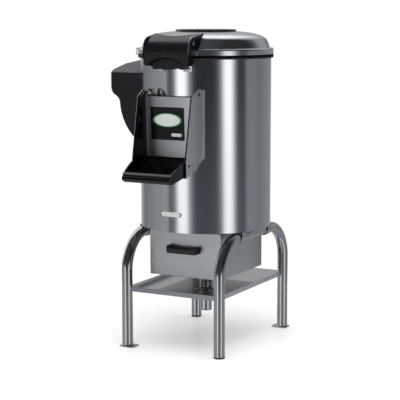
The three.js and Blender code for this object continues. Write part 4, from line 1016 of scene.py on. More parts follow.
@dataclass
class Stand(Assembly):
    """Two bent tubes on plates and caps, with a shelf between them."""

    side: float = 158
    front: float = -213.3
    rear: float = 230.7
    radius: float = 16.5
    wall: float = 2
    bend: float = 110
    shoulder: float = 234.2
    plate: float = 3
    cap: float = 5
    gap: float = 0.3
    saddle: float = 90
    bolt: float = 26.8
    bolt_seat: float = 357.7
    heel: float = 20
    toe: float = 31
    screw: float = 4
    bead: float = 2.2
    plug_top: float = 25

    def plug(self) -> float:
        """The radius of what fits in a tube."""
        return self.radius - self.wall - self.gap

    def hoop(self, name: str, x: float) -> Piece:
        """One tube: up from its plate, round a bend, across, round a bend and down to its cap.

        Args:
            name: The piece's name.
            x: The tube's plane.

        Returns:
            The tube with its wall.
        """
        front_foot, rear_foot = self.plate + self.gap, self.cap + self.gap
        bpy.ops.object.select_all(action="DESELECT")
        bpy.ops.mesh.primitive_circle_add(vertices=40, radius=self.radius * MM,
                                          location=self.at(Axis.Z, x, self.front, front_foot))
        piece = bpy.context.object
        piece.name = name
        bpy.ops.object.mode_set(mode="EDIT")
        bpy.ops.mesh.select_all(action="SELECT")

        def pull(y: float, z: float) -> None:
            """Pulls the open end straight on."""
            move = Vector((0, y, z)) * MM
            bpy.ops.mesh.extrude_region_move(TRANSFORM_OT_translate={"value": move})

        def bent(y: float) -> None:
            """Takes the open end round a quarter bend about a line at y."""
            bpy.ops.mesh.spin(steps=18, angle=math.pi / 2, axis=(1, 0, 0),
                              center=self.at(Axis.X, y, self.shoulder, x))

        pull(0, self.shoulder - front_foot)
        bent(self.front + self.bend)
        pull(self.rear - self.front - 2 * self.bend, 0)
        bent(self.rear - self.bend)
        pull(0, rear_foot - self.shoulder)
        self.close(piece)
        return self.modified(piece, "SOLIDIFY", thickness=self.wall * MM, offset=-1)

    def floor_plate(self, name: str, x: float, y: float) -> Piece:
        """A foot that is screwed to the floor, with the weld round its leg.

        Args:
            name: The piece's name.
            x: The leg's place.
            y: The leg's place.

        Returns:
            The foot, whose long end points to +X.
        """
        sole = box(x - self.heel, x + self.toe, y - self.heel, y + self.heel, 8)
        plate = self.slab(name, sole, Axis.Z, 0, self.plate)
        hole = (x + (self.toe + self.radius) / 2, y)
        self.merge(plate, self.rod("hole", self.screw, -1, 5, Axis.Z, hole, steps=24))
        self.soften(plate, 0.6, 2)
        plug, seat, edge = self.plug(), self.plate - 0.1, self.radius + 0.2
        inside = self.rod("plug", plug, self.plate - 0.5, self.plug_top, Axis.Z, (x, y), 1)
        crown = (plug, self.plate + self.bead)
        section = [crown, *arc((edge, self.plate + 0.2), self.bead, 0, 80, 4)[::-1],
                   (edge + self.bead, seat), (plug, seat), crown]
        weld = self.turned("weld", section, Axis.Z, (x, y), 40)
        return self.gather(plate, inside, weld)

    def foot_cap(self, name: str, x: float, y: float) -> Piece:
        """A moulded cap with a grooved plug.

        Args:
            name: The piece's name.
            x: The leg's place.
            y: The leg's place.

        Returns:
            The cap.
        """
        plug, top = self.plug(), self.plug_top
        profile = [(0, 0), (12, 0), *arc((self.radius - 1.6, 1.6), 1.6, -90, 0, 4),
                   *arc((self.radius - 0.8, self.cap - 0.8), 0.8, 0, 90, 3), (plug, self.cap)]
        for groove in (11, 18):
            profile += [(plug, groove - 1), (plug - 1, groove), (plug, groove + 1)]
        profile += [(plug, top), (plug - 1.5, top + 2), (0, top + 2)]
        return self.turned(name, profile, Axis.Z, (x, y), 48)

    def saddle_bolt(self, x: float, y: float) -> Piece:
        """A hexagon bolt head with its washer under a saddle's foot.

        Args:
            x: Its place.
            y: Its place.

        Returns:
            The head with its washer.
        """
        seat = self.bolt_seat
        washer = self.ring("washer", 3, 8, seat - 1.4, seat, Axis.Z, (x, y), 0.4, 32)
        head = self.rod("head", 6.5, seat - 6.4, seat - 1.3, Axis.Z, (x, y), steps=6)
        return self.gather(self.soften(head, 0.7, 2), washer)

    def build(self) -> None:
        """Makes and dresses the stand."""
        half_turn = (self.moved(y=self.front + self.rear)
                     @ self.mirrored(Axis.X, Axis.Y))
        hoop = self.hoop("hoop_left", -self.side)
        plate = self.floor_plate("foot_plate_front", -self.side, self.front)
        cap = self.foot_cap("tube_cap_front", self.side, self.front)
        for first, name, finish, nodes in (
                (hoop, "hoop_right", TUBE, ("stand_hoop_left", "stand_hoop_right")),
                (plate, "foot_plate_rear", TUBE, ("floor_plate_front_left",
                                                  "floor_plate_rear_right")),
                (cap, "tube_cap_rear", RUBBER, ("foot_cap_front_right", "foot_cap_rear_left"))):
            second = self.again(first, name, half_turn)
            for piece, node in zip((first, second), nodes):
                self.dress(piece, finish, Body.MACHINE, node, angle=60)
        self.remake("shelf", "shelf_tray", SHELF, Body.MACHINE, 0.8, 3)
        bolt = self.saddle_bolt(self.side - self.bolt, self.saddle)
        for end, side, lines in (("rear", "left", [Axis.X]), ("front", "right", [Axis.Y]),
                                 ("front", "left", [Axis.X, Axis.Y]), ("rear", "right", [])):
            node = f"drum_saddle_{end}_{side}"
            strap = self.reworked(node, f"saddle_{end}_{side}", 0.4)
            fitting = self.again(bolt, "bolt", self.mirrored(*lines)) if lines else bolt
            self.dress(self.gather(strap, fitting), DULL, Body.MACHINE, node)


@dataclass
class Drum(Assembly):
    """The shell with its lining, base, floor and disc."""

    radius: float = 200
    wall: float = 2
    bottom: float = 361
    top: float = 878
    outlet: Tuple[float, float, float] = (70, 606, 740)
    inlet: float = 770
    gap: float = 0.3
    badge: Tuple[float, float, float, float] = (-14, 416, 38, 7)
    hose: float = 13.3
    dish: float = 3
    duct: Tuple[float, float] = (84.85, 26)
    lining: Tuple[float, float, float] = (6, 560.3, 868)

    def mouth(self, front: float) -> Piece:
        """The tool that cuts the outlet."""
        half, low, high = self.outlet
        return self.slab("mouth", box(-half, half, low, high, 4), Axis.Y, front, -60)

    def hose_hole(self) -> Piece:
        """The tool that cuts the inlet's hole."""
        return self.rod("hose_hole", self.hose, 100, 260, Axis.Y, (0, self.inlet))

    def shell(self) -> Piece:
        """The drum's sheet with hemmed edges, an outlet and a hose hole.

        Returns:
            The sheet.
        """
        shell = self.ring("drum_skin", self.radius - self.wall, self.radius, self.bottom,
                          self.top, corner=0.7, steps=240)
        self.merge(shell, self.mouth(-220), self.hose_hole())
        return shell

    def inlay(self) -> Piece:
        """The bare pill-shaped inlay that follows the drum's front.

        Returns:
            The inlay.
        """
        x, z, reach, rise = self.badge
        outline = [*arc((x + reach - rise, z), rise, -90, 90, 14),
                   *arc((x - reach + rise, z), rise, 90, 270, 14)]
        pill = self.slab("drum_badge", outline, Axis.Y, -215, -180)
        skin = self.ring("skin", self.radius - 0.2, self.radius + 1, z - 20, z + 20, steps=240)
        self.merge(pill, skin, cut=Cut.SHARED)
        return self.soften(pill, 0.5, 3, 40)

    def build(self) -> None:
        """Makes and dresses the drum."""
        self.dress(self.shell(), SHELL, Body.MACHINE, "drum_shell")
        seam = self.ring("seam", self.radius - 0.5, self.radius + 0.25, self.bottom + 1,
                         self.top - 1, steps=240)
        strip = self.slab("drum_seam", box(70, 71.6, 150, 210), Axis.Z, self.bottom, self.top)
        self.dress(self.merge(strip, seam, cut=Cut.SHARED), BRIGHT, Body.MACHINE)
        inside, sheet, floor = self.radius - self.wall - self.gap, self.dish, self.bottom
        dish = [(0, floor), *arc((inside - sheet, floor + sheet), sheet, -90, 0, 6),
                (inside, floor + 20), (inside - sheet, floor + 20),
                (inside - sheet, floor + sheet + 1), (inside - sheet - 1, floor + sheet),
                (0, floor + sheet)]
        base = self.turned("drum_dish", dish, steps=160)
        away, bore = self.duct
        self.merge(base, self.rod("duct_hole", bore, floor - 11, floor + 19, Axis.Z,
                                  (-away, -away)))
        self.dress(base, UNDERSIDE, Body.MACHINE, "drum_base")
        self.remake("chamber_floor", "chamber_deck", UNDERSIDE, Body.MACHINE)
        thick, low, high = self.lining
        lining = self.ring("lining_sleeve", inside - thick, inside, low, high, corner=1,
                           steps=160)
        self.merge(lining, self.mouth(-210), self.hose_hole())
        self.dress(lining, LINING, Body.MACHINE, "abrasive_lining")
        self.remake("abrasive_disc", "wave_disc", DISC, Body.DISC, 1.6, 3, 40)
        x, z, reach, rise = self.badge
        centre = tuple(self.at(Axis.Y, x, z, -self.radius))
        pill = Enamel("pill_inlay", "satin_steel", (0.72, 0.74, 0.72, 1), (0.06, 0.3, 0.1, 1),
                      centre, (reach * MM, rise * MM * 2.2), 0.86)
        self.dress(self.inlay(), pill, Body.MACHINE)
        for node, finish in (("drive_shaft", BRIGHT), ("bearing_carrier", ALUMINIUM),
                             ("upper_bearing", BRIGHT), ("lower_bearing", BRIGHT),
                             ("shaft_seal", RUBBER), ("shaft_pulley", ALUMINIUM),
                             ("drive_belt", RUBBER), ("motor_pulley", ALUMINIUM),
                             ("motor_body", MOTOR), ("waste_duct", RUBBER)):
            self.dress_node(node, finish)


@dataclass
class Waterways(Assembly):
    """The hose tail at the back and the drain under the shelf."""

    level: float = 770
    tail_bore: float = 8
    neck: float = 13
    barbs: Tuple[float, ...] = (211, 217.5, 224, 230.5)
    inner: float = 191.7
    mouth: float = 242
    drain: float = 19
    drain_wall: float = 2
    drain_foot: float = 88
    flange: Tuple[float, float, float] = (32, 211.7, 214.7)

    def tail(self) -> Piece:
        """The hose tail: a plain neck, barbs, a clamping nut and its collar.

        Returns:
            The tail.
        """
        bore, neck, end, centre = self.tail_bore, self.neck, self.mouth, (0, self.level)
        profile = [(bore, self.inner), (neck, self.inner), (neck, self.barbs[0])]
        for start in self.barbs:
            profile += [(neck - 2.4, start), (neck, start + 5.2), (neck, start + 5.8)]
        profile += [(neck - 2.2, end - 5), *arc((neck + 1.4, end - 4.4), 1.6, -60, 60, 6),
                    (neck - 2, end - 1.5), (neck - 3, end), (bore, end), (bore, self.inner)]
        tail = self.turned("hose_tail", profile, Axis.Y, centre, 40)
        nut = self.rod("nut", 20, 200.3, 209.3, Axis.Y, centre, steps=6)
        self.merge(nut, self.rod("bore", neck - 0.1, 190, 220, Axis.Y, centre))
        collar = self.ring("collar", neck, neck + 4, 209.2, 211.6, Axis.Y, centre, 0.8, 40)
        return self.gather(tail, self.soften(nut, 1, 2), collar)

    def pipe(self) -> Piece:
        """The drain pipe with its welded flange and rolled end.

        Returns:
            The pipe.
        """
        inner, outer, foot = self.drain - self.drain_wall, self.drain, self.drain_foot
        rim, low, high = self.flange
        profile = [(inner, foot), *arc((outer - 0.6, foot + 1), 1, -90, 90, 6), (outer, foot + 4),
                   (outer, low - 3.7), *arc((outer + 3, low - 3), 3, 180, 90, 4), (rim, low),
                   (rim, high), (inner, high), (inner, foot)]
        return self.turned("drain_tube", profile, steps=64)

    def build(self) -> None:
        """Makes and dresses the waterways."""
        self.dress(self.tail(), BRIGHT, Body.MACHINE, "water_inlet")
        self.dress(self.pipe(), TUBE, Body.MACHINE, "drain_pipe")


@dataclass
class Filter(Assembly):
    """The housing under the drum and the drawer that slides in it."""

    face: float = -135.6
    out: float = -163.6
    half: float = 51
    low: float = 290
    high: float = 308.5
    rise: float = 6.5
    foot: float = 15
    thick: float = 12.5

    def grip(self) -> Piece:
        """A moulded bridge grip: a bar, two taller ends, and feet pulled back to the sheet.

        Returns:
            The grip.
        """
        inner = self.half - self.foot
        middle = (self.out + self.thick / 2, (self.low + self.high) / 2)
        bpy.ops.object.select_all(action="DESELECT")
        bpy.ops.mesh.primitive_cube_add(size=MM, location=self.at(Axis.X, *middle, 0))
        piece = bpy.context.object
        piece.name = "drawer_grip"
        piece.scale = (2 * inner, self.thick, self.high - self.low)
        bpy.ops.object.transform_apply(location=True, rotation=True, scale=True)
        for sign in (-1, 1):
            self._pick_faces(piece, Vector((sign, 0, 0)), sign * inner)
            step = Vector((sign * self.foot, 0, 0)) * MM
            bpy.ops.mesh.extrude_region_move(TRANSFORM_OT_translate={"value": step})
            bpy.ops.transform.translate(value=(0, 0, self.rise * MM / 2))
            bpy.ops.transform.resize(value=(1, 1, 1 + self.rise / (self.high - self.low)))
            bpy.ops.object.mode_set(mode="OBJECT")
            self._pick_faces(piece, Vector((0, 1, 0)), sign * (inner + self.foot / 2))
            step = Vector((sign * 2.5, self.face - self.out - self.thick, 0)) * MM
            bpy.ops.mesh.extrude_region_move(TRANSFORM_OT_translate={"value": step})
            bpy.ops.object.mode_set(mode="OBJECT")
        return self.soften(piece, 4.4, 5)

    def _pick_faces(self, piece: Piece, normal: Vector,
                    x: float) -> None:
        """Selects the faces that point one way near one place along X, in edit mode.

        Args:
            piece: The piece.
            normal: The way.
            x: The place.
        """
        self.pick(piece)
        bpy.ops.object.mode_set(mode="EDIT")
        bpy.ops.mesh.select_all(action="DESELECT")
        bpy.ops.object.mode_set(mode="OBJECT")
        for face in piece.data.polygons:
            near = abs((face.center.x - self.axis.x) / MM - x) < 4
            face.select = near and face.normal.dot(normal) > 0.9
        bpy.ops.object.mode_set(mode="EDIT")
        bpy.ops.mesh.select_mode(type="FACE")

    def build(self) -> None:
        """Makes and dresses the filter."""
        self.remake("filter_housing", "housing_sheet", SHEET, Body.MACHINE, 0.8)
        self.remake("filter_drawer", "slotted_drawer", SHEET, Body.DRAWER, 0.4)
        self.remake("drawer_front", "drawer_face", FACE, Body.DRAWER, 0.9, 3)
        self.dress(self.grip(), HANDLE, Body.DRAWER, "drawer_handle", angle=50)


@dataclass
class Lid(Assembly):
    """The spun lid with its cap, seal and hinge."""

    rim: float = 207
    low: float = 881
    band: float = 25
    step: float = 8
    dome: float = 190
    rise: float = 43
    corner: float = 5
    sheet: float = 2.5
    edging_and_shade: float = 6.5
    cap: float = 92.4
    cap_top: float = 961
    hinge: Point = (232, 893)
    lug_reach: Point = (205, 213)
    lug_half: Point = (15, 12)
    seal: float = 199.7
    # The lip's points reach out under the rim, partly as painted shade.
    shade_lip: Tuple[Point, ...] = ((204.2, 880.7), (206.3, 880.4), (206.6, 877.6), (206, 876.4),
                              (202, 878.3))

    def height(self, share: float) -> float:
        """The dome's height at a share of its radius."""
        return self.low + self.band + self.step + self.rise * (1 - share ** 3) ** (1 / 3)

    def outside(self) -> List[Point]:
        """The lid's outer profile from over its near-black edging band, which is partly painted
        shade, to the axis.

        Returns:
            The profile as (radius, height).
        """
        top = self.low + self.band
        foot = top + self.step
        profile = [(self.rim, self.low + self.edging_and_shade + 0.6),
                   *arc((self.rim - self.corner, top - self.corner), self.corner, 0, 90, 8),
                   *arc((self.dome + 7.6, top + 2.6), 2.6, 270, 197, 6),
                   (self.dome + 2.6, foot + 2), (self.dome - 0.1, foot + 9.5)]
        for i in range(10, 40):
            share = math.cos(math.pi / 2 * (i / 40) ** 1.5)
            profile.append((self.dome * share, self.height(share)))
        return [*profile, (0, self.height(0))]

    def shell(self) -> Piece:
        """The lid's sheet, drawn outside and in, with a rebate for its near-black edging band,
        which is partly painted shade.

        Returns:
            The sheet.
        """
        outer, shade_lip = self.outside(), self.rim - 1
        rebate = [(shade_lip - 1.4, self.low), *arc((shade_lip - 1, self.low + 1), 1, -90, 0, 3),
                  (shade_lip, self.low + self.edging_and_shade + 0.2)]
        inner: List[Point] = [(self.rim - self.sheet, self.low)]
        for i, (r, z) in enumerate(outer[1:-1], start=1):
            along = (Vector(outer[i + 1]) - Vector(outer[i - 1])).normalized()
            inner.append((r - along.y * self.sheet, z + along.x * self.sheet))
        inner.append((0, outer[-1][1] - self.sheet))
        return self.turned("lid_skin", [*rebate, *outer, *inner[::-1], rebate[0]], steps=200)

    def cover(self) -> Piece:
        """The black disc on the lid, with a groove inside its rim.

        Returns:
            The disc.
        """
        r, top = self.cap, self.cap_top
        under = self.height(r / self.dome) + 0.3
        profile = [(0, self.height(0) + 0.3), (r * 0.6, self.height(0.6 * r / self.dome) + 0.3),
                   (r - 1, under), (r, under + 0.6), *arc((r - 3, top - 3), 3, 0, 90, 6),
                   (r - 7, top), (r - 8, top - 0.8), (r - 9.5, top - 0.8), (r - 10.5, top),
                   (0, top)]
        return self.turned("lid_cover", profile, steps=120)

    def lug(self) -> Piece:
        """The small folded lug at the rim's left end.

        Returns:
            The lug.
        """
        out, along = Vector((-0.883, -0.469)), Vector((0.469, -0.883))
        (near, far), (wide, narrow) = self.lug_reach, self.lug_half
        corners = [out * near + along * wide, out * far + along * narrow,
                   out * far - along * narrow, out * near - along * wide]
        lug = self.slab("lid_lug", [tuple(corner) for corner in corners], Axis.Z, self.low + 3,
                        self.low + 24)
        return self.soften(lug, 2.2, 4)

    def dark_band(self) -> Piece:
        """The lid's rubber seal with a near-black lip under the rim, which is partly the seal and
        partly painted shade on the drum below.

        Returns:
            The seal.
        """
        r, low, high = self.seal, self.low - 0.2, self.low + 3.8
        profile = [*arc((r, low), 2.5, 270, 180, 4), *arc((r, high), 2.5, 180, 90, 4),
                   *arc((r + 2, high), 2.5, 90, 0, 4), *self.shade_lip]
        return self.turned("lid_gasket", [*profile, profile[0]], steps=160)

    def build(self) -> None:
        """Makes and dresses the lid."""
        self.dress(self.shell(), LID, Body.LID, "lid_dome", angle=40)
        self.dress(self.cover(), CASING, Body.LID, "lid_cap")
        # The seal's lip under the rim is partly painted shade on the drum.
        self.dress(self.dark_band(), RUBBER, Body.LID, "lid_seal")
        # A near-black band on the rim's lower edge: partly a rubber edging, partly painted shade.
        edging_and_shade = self.ring("lid_edging_and_shade", self.rim - 1.1, self.rim - 0.1, self.low - 0.8,
                           self.low + self.edging_and_shade, corner=0.4, steps=200)
        self.dress(edging_and_shade, SHADE_BLACK, Body.LID)
        self.dress(self.lug(), LID, Body.LID)
        self.remake("lid_hinge_bracket", "hinge_bracket", DULL, Body.MACHINE, 0.8)
        self.remake("lid_hinge_leaf", "hinge_leaf", DULL, Body.LID, 0.8)
        pin = self.headed_pin("hinge_pin", 4, 38, self.hinge, 0.6, 6.5, 3)
        self.dress(pin, BRIGHT, Body.MACHINE, "lid_hinge_pin")


@dataclass
class Latch(Assembly):
    """Two ears, a moulded hood over them and the lever that grips the drum's keepers."""

    pin: Tuple[float, float] = (-220, 924)
    ear: float = 76
    half: float = 72.7
    front: float = -251
    low: float = 858
    fold: float = 921
    fold_radius: float = 42
    back: Tuple[float, float] = (-170, 952)
    hollow: Tuple[float, float] = (105.6, -98.4)
    wall: float = 2.6
    arch: Tuple[float, float] = (66, 25)
    corner: float = 11
    screw: Tuple[float, float] = (0, 903)
    brow: Tuple[Point, ...] = ((-256.2, 884), (-247.6, 919), (-244, 928), (-235, 939),
                               (-226, 942.3), (-151, 955.6))

    def hood(self, lid: Lid) -> Piece:
        """The hood: a bent sheet with rounded lower corners and an arch for the fingers.

        Its rear edge has a round hollow.

        Args:
            lid: The lid that it is fitted to.

        Returns:
            The hood.
        """
        y, z = self.back
        inner = self.front + self.wall
        section = rounded([(self.front, self.low), (self.front, self.fold, self.fold_radius),
                           (y - 30, z - 4, 60), (y, z), (y, z - self.wall),
                           (y - 30, z - 4 - self.wall, 60),
                           (inner, self.fold - self.wall / 2, self.fold_radius - self.wall),
                           (inner, self.low)], 10)
        hood = self.slab("latch_cover", section, Axis.X, -self.half, self.half)
        face = box(-self.half, self.half, self.low, 1000, self.corner, 10)
        mask = self.slab("mask", face, Axis.Y, self.front - 20, 0)
        self.merge(hood, mask, cut=Cut.SHARED)
        radius, level = self.finger_arch()
        arch = self.rod("arch", radius, self.front - 20, -238, Axis.Y, (0, level), steps=160)
        self.merge(hood, arch, self.rear_hollow())
        clear = [(r + 0.4, h + 0.4) for r, h in lid.outside()[:-1]]
        seat = [(0, lid.low - 1), (lid.rim + 0.4, lid.low - 1), *clear, (0, lid.height(0) + 0.4)]
        self.merge(hood, self.turned("seat", seat, steps=120))
        return self.soften(hood, 0.9, 3, 38)

    def rear_hollow(self) -> Piece:
        """The tool that hollows the hood's rear edge."""
        radius, centre = self.hollow
        return self.rod("hollow", radius, 800, 1000, Axis.Z, (0, centre), steps=160)

    def finger_arch(self) -> Point:
        """The finger arch's radius and the height of its centre.

        Returns:
            The two sizes.
        """
        reach, rise = self.arch
        radius = (reach ** 2 + rise ** 2) / (2 * rise)
        return radius, self.low + rise - radius

    def trims(self) -> List[Piece]:
        """A near-black strip under the finger arch, which is painted shade, and the bright edges
        of the two ears.

        Returns:
            The painted shade strip, the right edge and the left edge.
        """
        radius, level = self.finger_arch()
        # Painted shade: a near-black strip where the arch's edge shades the lever behind it.
        shade_lip = self.ring("arch_shade_strip", radius - 3.2, radius + 0.2, self.front + 0.3,
                        self.front + 5, Axis.Y, (0, level), 0.5, 160)
        reach = self.arch[0] - 1
        mask = self.slab("mask", box(-reach, reach, self.low + 0.5, self.low + 60), Axis.Y,
                         self.front - 5, self.front + 9)
        self.merge(shade_lip, mask, cut=Cut.SHARED)
        inside = [(y + 2.6, z - 1.3) for y, z in self.brow]
        right = self.slab("ear_edge_right", [*self.brow, *inside[::-1]], Axis.X, self.ear - 3.1,
                          self.ear + 0.4)
        self.soften(right, 0.95, 4, 50)
        left = self.again(right, "ear_edge_left", self.mirrored(Axis.X))
        return [shade_lip, right, self.merge(left, self.rear_hollow())]

    def build(self, lid: Lid) -> None:
        """Makes and dresses the latch.

        Args:
            lid: The lid that it is fitted to.
        """
        for side in ("left", "right"):
            ear = self.reworked(f"latch_ear_{side}", f"ear_{side}", 0.7, 3)
            if side == "left":
                self.merge(ear, self.rear_hollow())
            self.dress(ear, EAR, Body.LID, f"latch_ear_{side}")
            self.remake(f"latch_keeper_{side}", f"keeper_{side}", BRIGHT, Body.MACHINE)
        self.dress(self.hood(lid), CASING, Body.LID, "latch_hood", angle=36)
        self.remake("latch_lever", "squeeze_lever", CASING, Body.LATCH, 0.8)
        # The first of the trims is the painted shade strip in the arch.
        for trim, finish in zip(self.trims(), (SHADE_BLACK, BRIGHT, BRIGHT)):
            self.dress(trim, finish, Body.LID)
        pin = self.headed_pin("ear_pin", 3, self.ear, self.pin, 0.5, 5.5, 2.6)
        self.dress(pin, BRIGHT, Body.LID, "latch_pin")
        screw = self.rod("hood_screw_top", 2.8, self.front - 0.7, self.front + 1, Axis.Y,
                         self.screw, 0.6, 24)
        self.merge(screw, self.rod("socket", 1.5, self.front - 2, self.front - 0.2, Axis.Y,
                                   self.screw, steps=6))
        left = self.again(screw, "hood_screw_left", self.moved(-45, 0, -15))
        right = self.again(screw, "hood_screw_right", self.moved(37, 0, -15))
        for piece in (screw, left, right):
            self.dress(piece, BLACKENED, Body.LID)


@dataclass
class Outlet(Assembly):
    """The cheeks and floor of the chute, the frame, and the door with its tray."""

    plate: Tuple[float, float, float, float] = (-68.5, 43.5, 640, 737)
    pivot: Tuple[float, float] = (-214, 777)
    tray: Tuple[float, float] = (-361, 540)
    bar: float = 8
    half: float = 79
    foot: Tuple[float, float] = (-211.4, 590)
    lean: float = 8.6 / 178
    oval: Tuple[float, float] = (48, 20.5)
    pill: Tuple[float, float] = (14, 5)

    def face(self, z: float) -> float:
        """Where the panel's front is at a height."""
        return self.foot[0] - (z - self.foot[1]) * self.lean

    def leaning(self, name: str, outline: Sequence[Point], thick: float,
                sink: float = 0.3) -> Piece:
        """A plate that lies on the leaning panel.

        Args:
            name: The piece's name.
            outline: Its outline across and up.
            thick: How far it stands off the panel.
            sink: How far it reaches into what carries it.

        Returns:
            The plate.
        """
        sides = [p[0] for p in outline]
        low, high = min(p[1] for p in outline) - 4, max(p[1] for p in outline) + 4
        wedge = self.slab(name, [(self.face(low) + sink, low), (self.face(low) - thick, low),
                                 (self.face(high) - thick, high), (self.face(high) + sink, high)],
                          Axis.X, min(sides) - 2, max(sides) + 2)
        mask = self.slab("mask", outline, Axis.Y, -260, -190)
        return self.merge(wedge, mask, cut=Cut.SHARED)

    def plates(self) -> None:
        """The bare plate on the panel, with an oval and a pill inlay."""
        left, right, low, high = self.plate
        plate = self.leaning("panel_plate", box(left, right, low, high, 3), 1.3, -0.2)
        self.dress(self.soften(plate, 0.3, 2), GLOSS, Body.DOOR, "door_name_plate")
        x, z = (left + right) / 2, high - 38
        wide, tall = self.oval
        oval = [(x + wide * math.cos(math.tau * i / 72), z + tall * math.sin(math.tau * i / 72))
                for i in range(72)]
        inlay = self.soften(self.leaning("plate_oval", oval, 2.2, -1.2), 0.4, 2, 50)
        finish = Enamel("oval_inlay", "satin_steel", (0.78, 0.8, 0.78, 1), (0.07, 0.3, 0.1, 1),
                        tuple(self.at(Axis.Y, x, z, -220)), (wide * MM, tall * MM), 0.88)
        self.dress(inlay, finish, Body.DOOR)
        x, z = right - 26, low + 16
        half, r = self.pill
        pill = [*arc((x + half, z), r, -90, 90, 12), *arc((x - half, z), r, 90, 270, 12)]
        inlay = self.soften(self.leaning("plate_pill", pill, 2.0, -1.2), 0.4, 2, 50)
        finish = Enamel("small_inlay", "satin_steel", (0.7, 0.72, 0.7, 1), (0.07, 0.3, 0.1, 1),
                        tuple(self.at(Axis.Y, x, z, -220)), ((half + r) * MM, r * MM * 2.2), 0.86)
        self.dress(inlay, finish, Body.DOOR)

    def grip(self) -> Piece:
        """The tray's bar, with a groove near each end.

        Returns:
            The bar.
        """
        r, half = self.bar, self.half
        profile = [(0, -half), (r - 2, -half), *arc((r - 1, -half + 1), 1, -90, 0, 3),
                   (r, -half + 6), (r - 0.8, -half + 6.6), (r - 0.8, -half + 7.6),
                   (r, -half + 8.2)]
        profile += [(radius, -x) for radius, x in profile[::-1]]
        return self.turned("tray_bar", profile, Axis.X, self.tray, 48)

    def build(self) -> None:
        """Makes and dresses the outlet."""
        # The cheeks' steel is painted lighter, as painted light.
        for side in ("left", "right"):
            self.remake(f"chute_cheek_{side}", f"cheek_{side}", CHEEK_PAINTED_LIGHT, Body.MACHINE, 0.95, 3)
        self.remake("chute_floor", "chute_ramp", SHEET, Body.MACHINE)
        self.remake("outlet_frame", "mouth_frame", SHEET, Body.MACHINE)
        hatch = replace(HATCH, centre=tuple(self.axis))
        self.remake("door_panel", "hatch_panel", hatch, Body.DOOR, 0.95, 4)
        self.remake("door_body", "hatch_moulding", GLOSS, Body.DOOR, 1.45, 3)
        self.remake("door_seal", "hatch_seal", RUBBER, Body.DOOR, 0.8)
        self.dress(self.grip(), GLOSS, Body.DOOR, "tray_grip_bar")
        self.plates()
        fittings = (self.rod("pivot_nut", 7, 74, 80.2, Axis.X, self.pivot, 2.4, 32),
                    self.rod("pivot_rivet", 5, 90.8, 93, Axis.X, self.pivot, 1, 32),
                    self.rod("cheek_screw", 4, 90.8, 93, Axis.X, (-274, 574), 1.2, 24))
        for right, finish in zip(fittings, (BRIGHT, BLACKENED, BLACKENED)):
            left = self.again(right, f"{right.name}_left", self.mirrored(Axis.X))
            self.dress(left, finish, Body.MACHINE)
            self.dress(right, finish, Body.MACHINE)


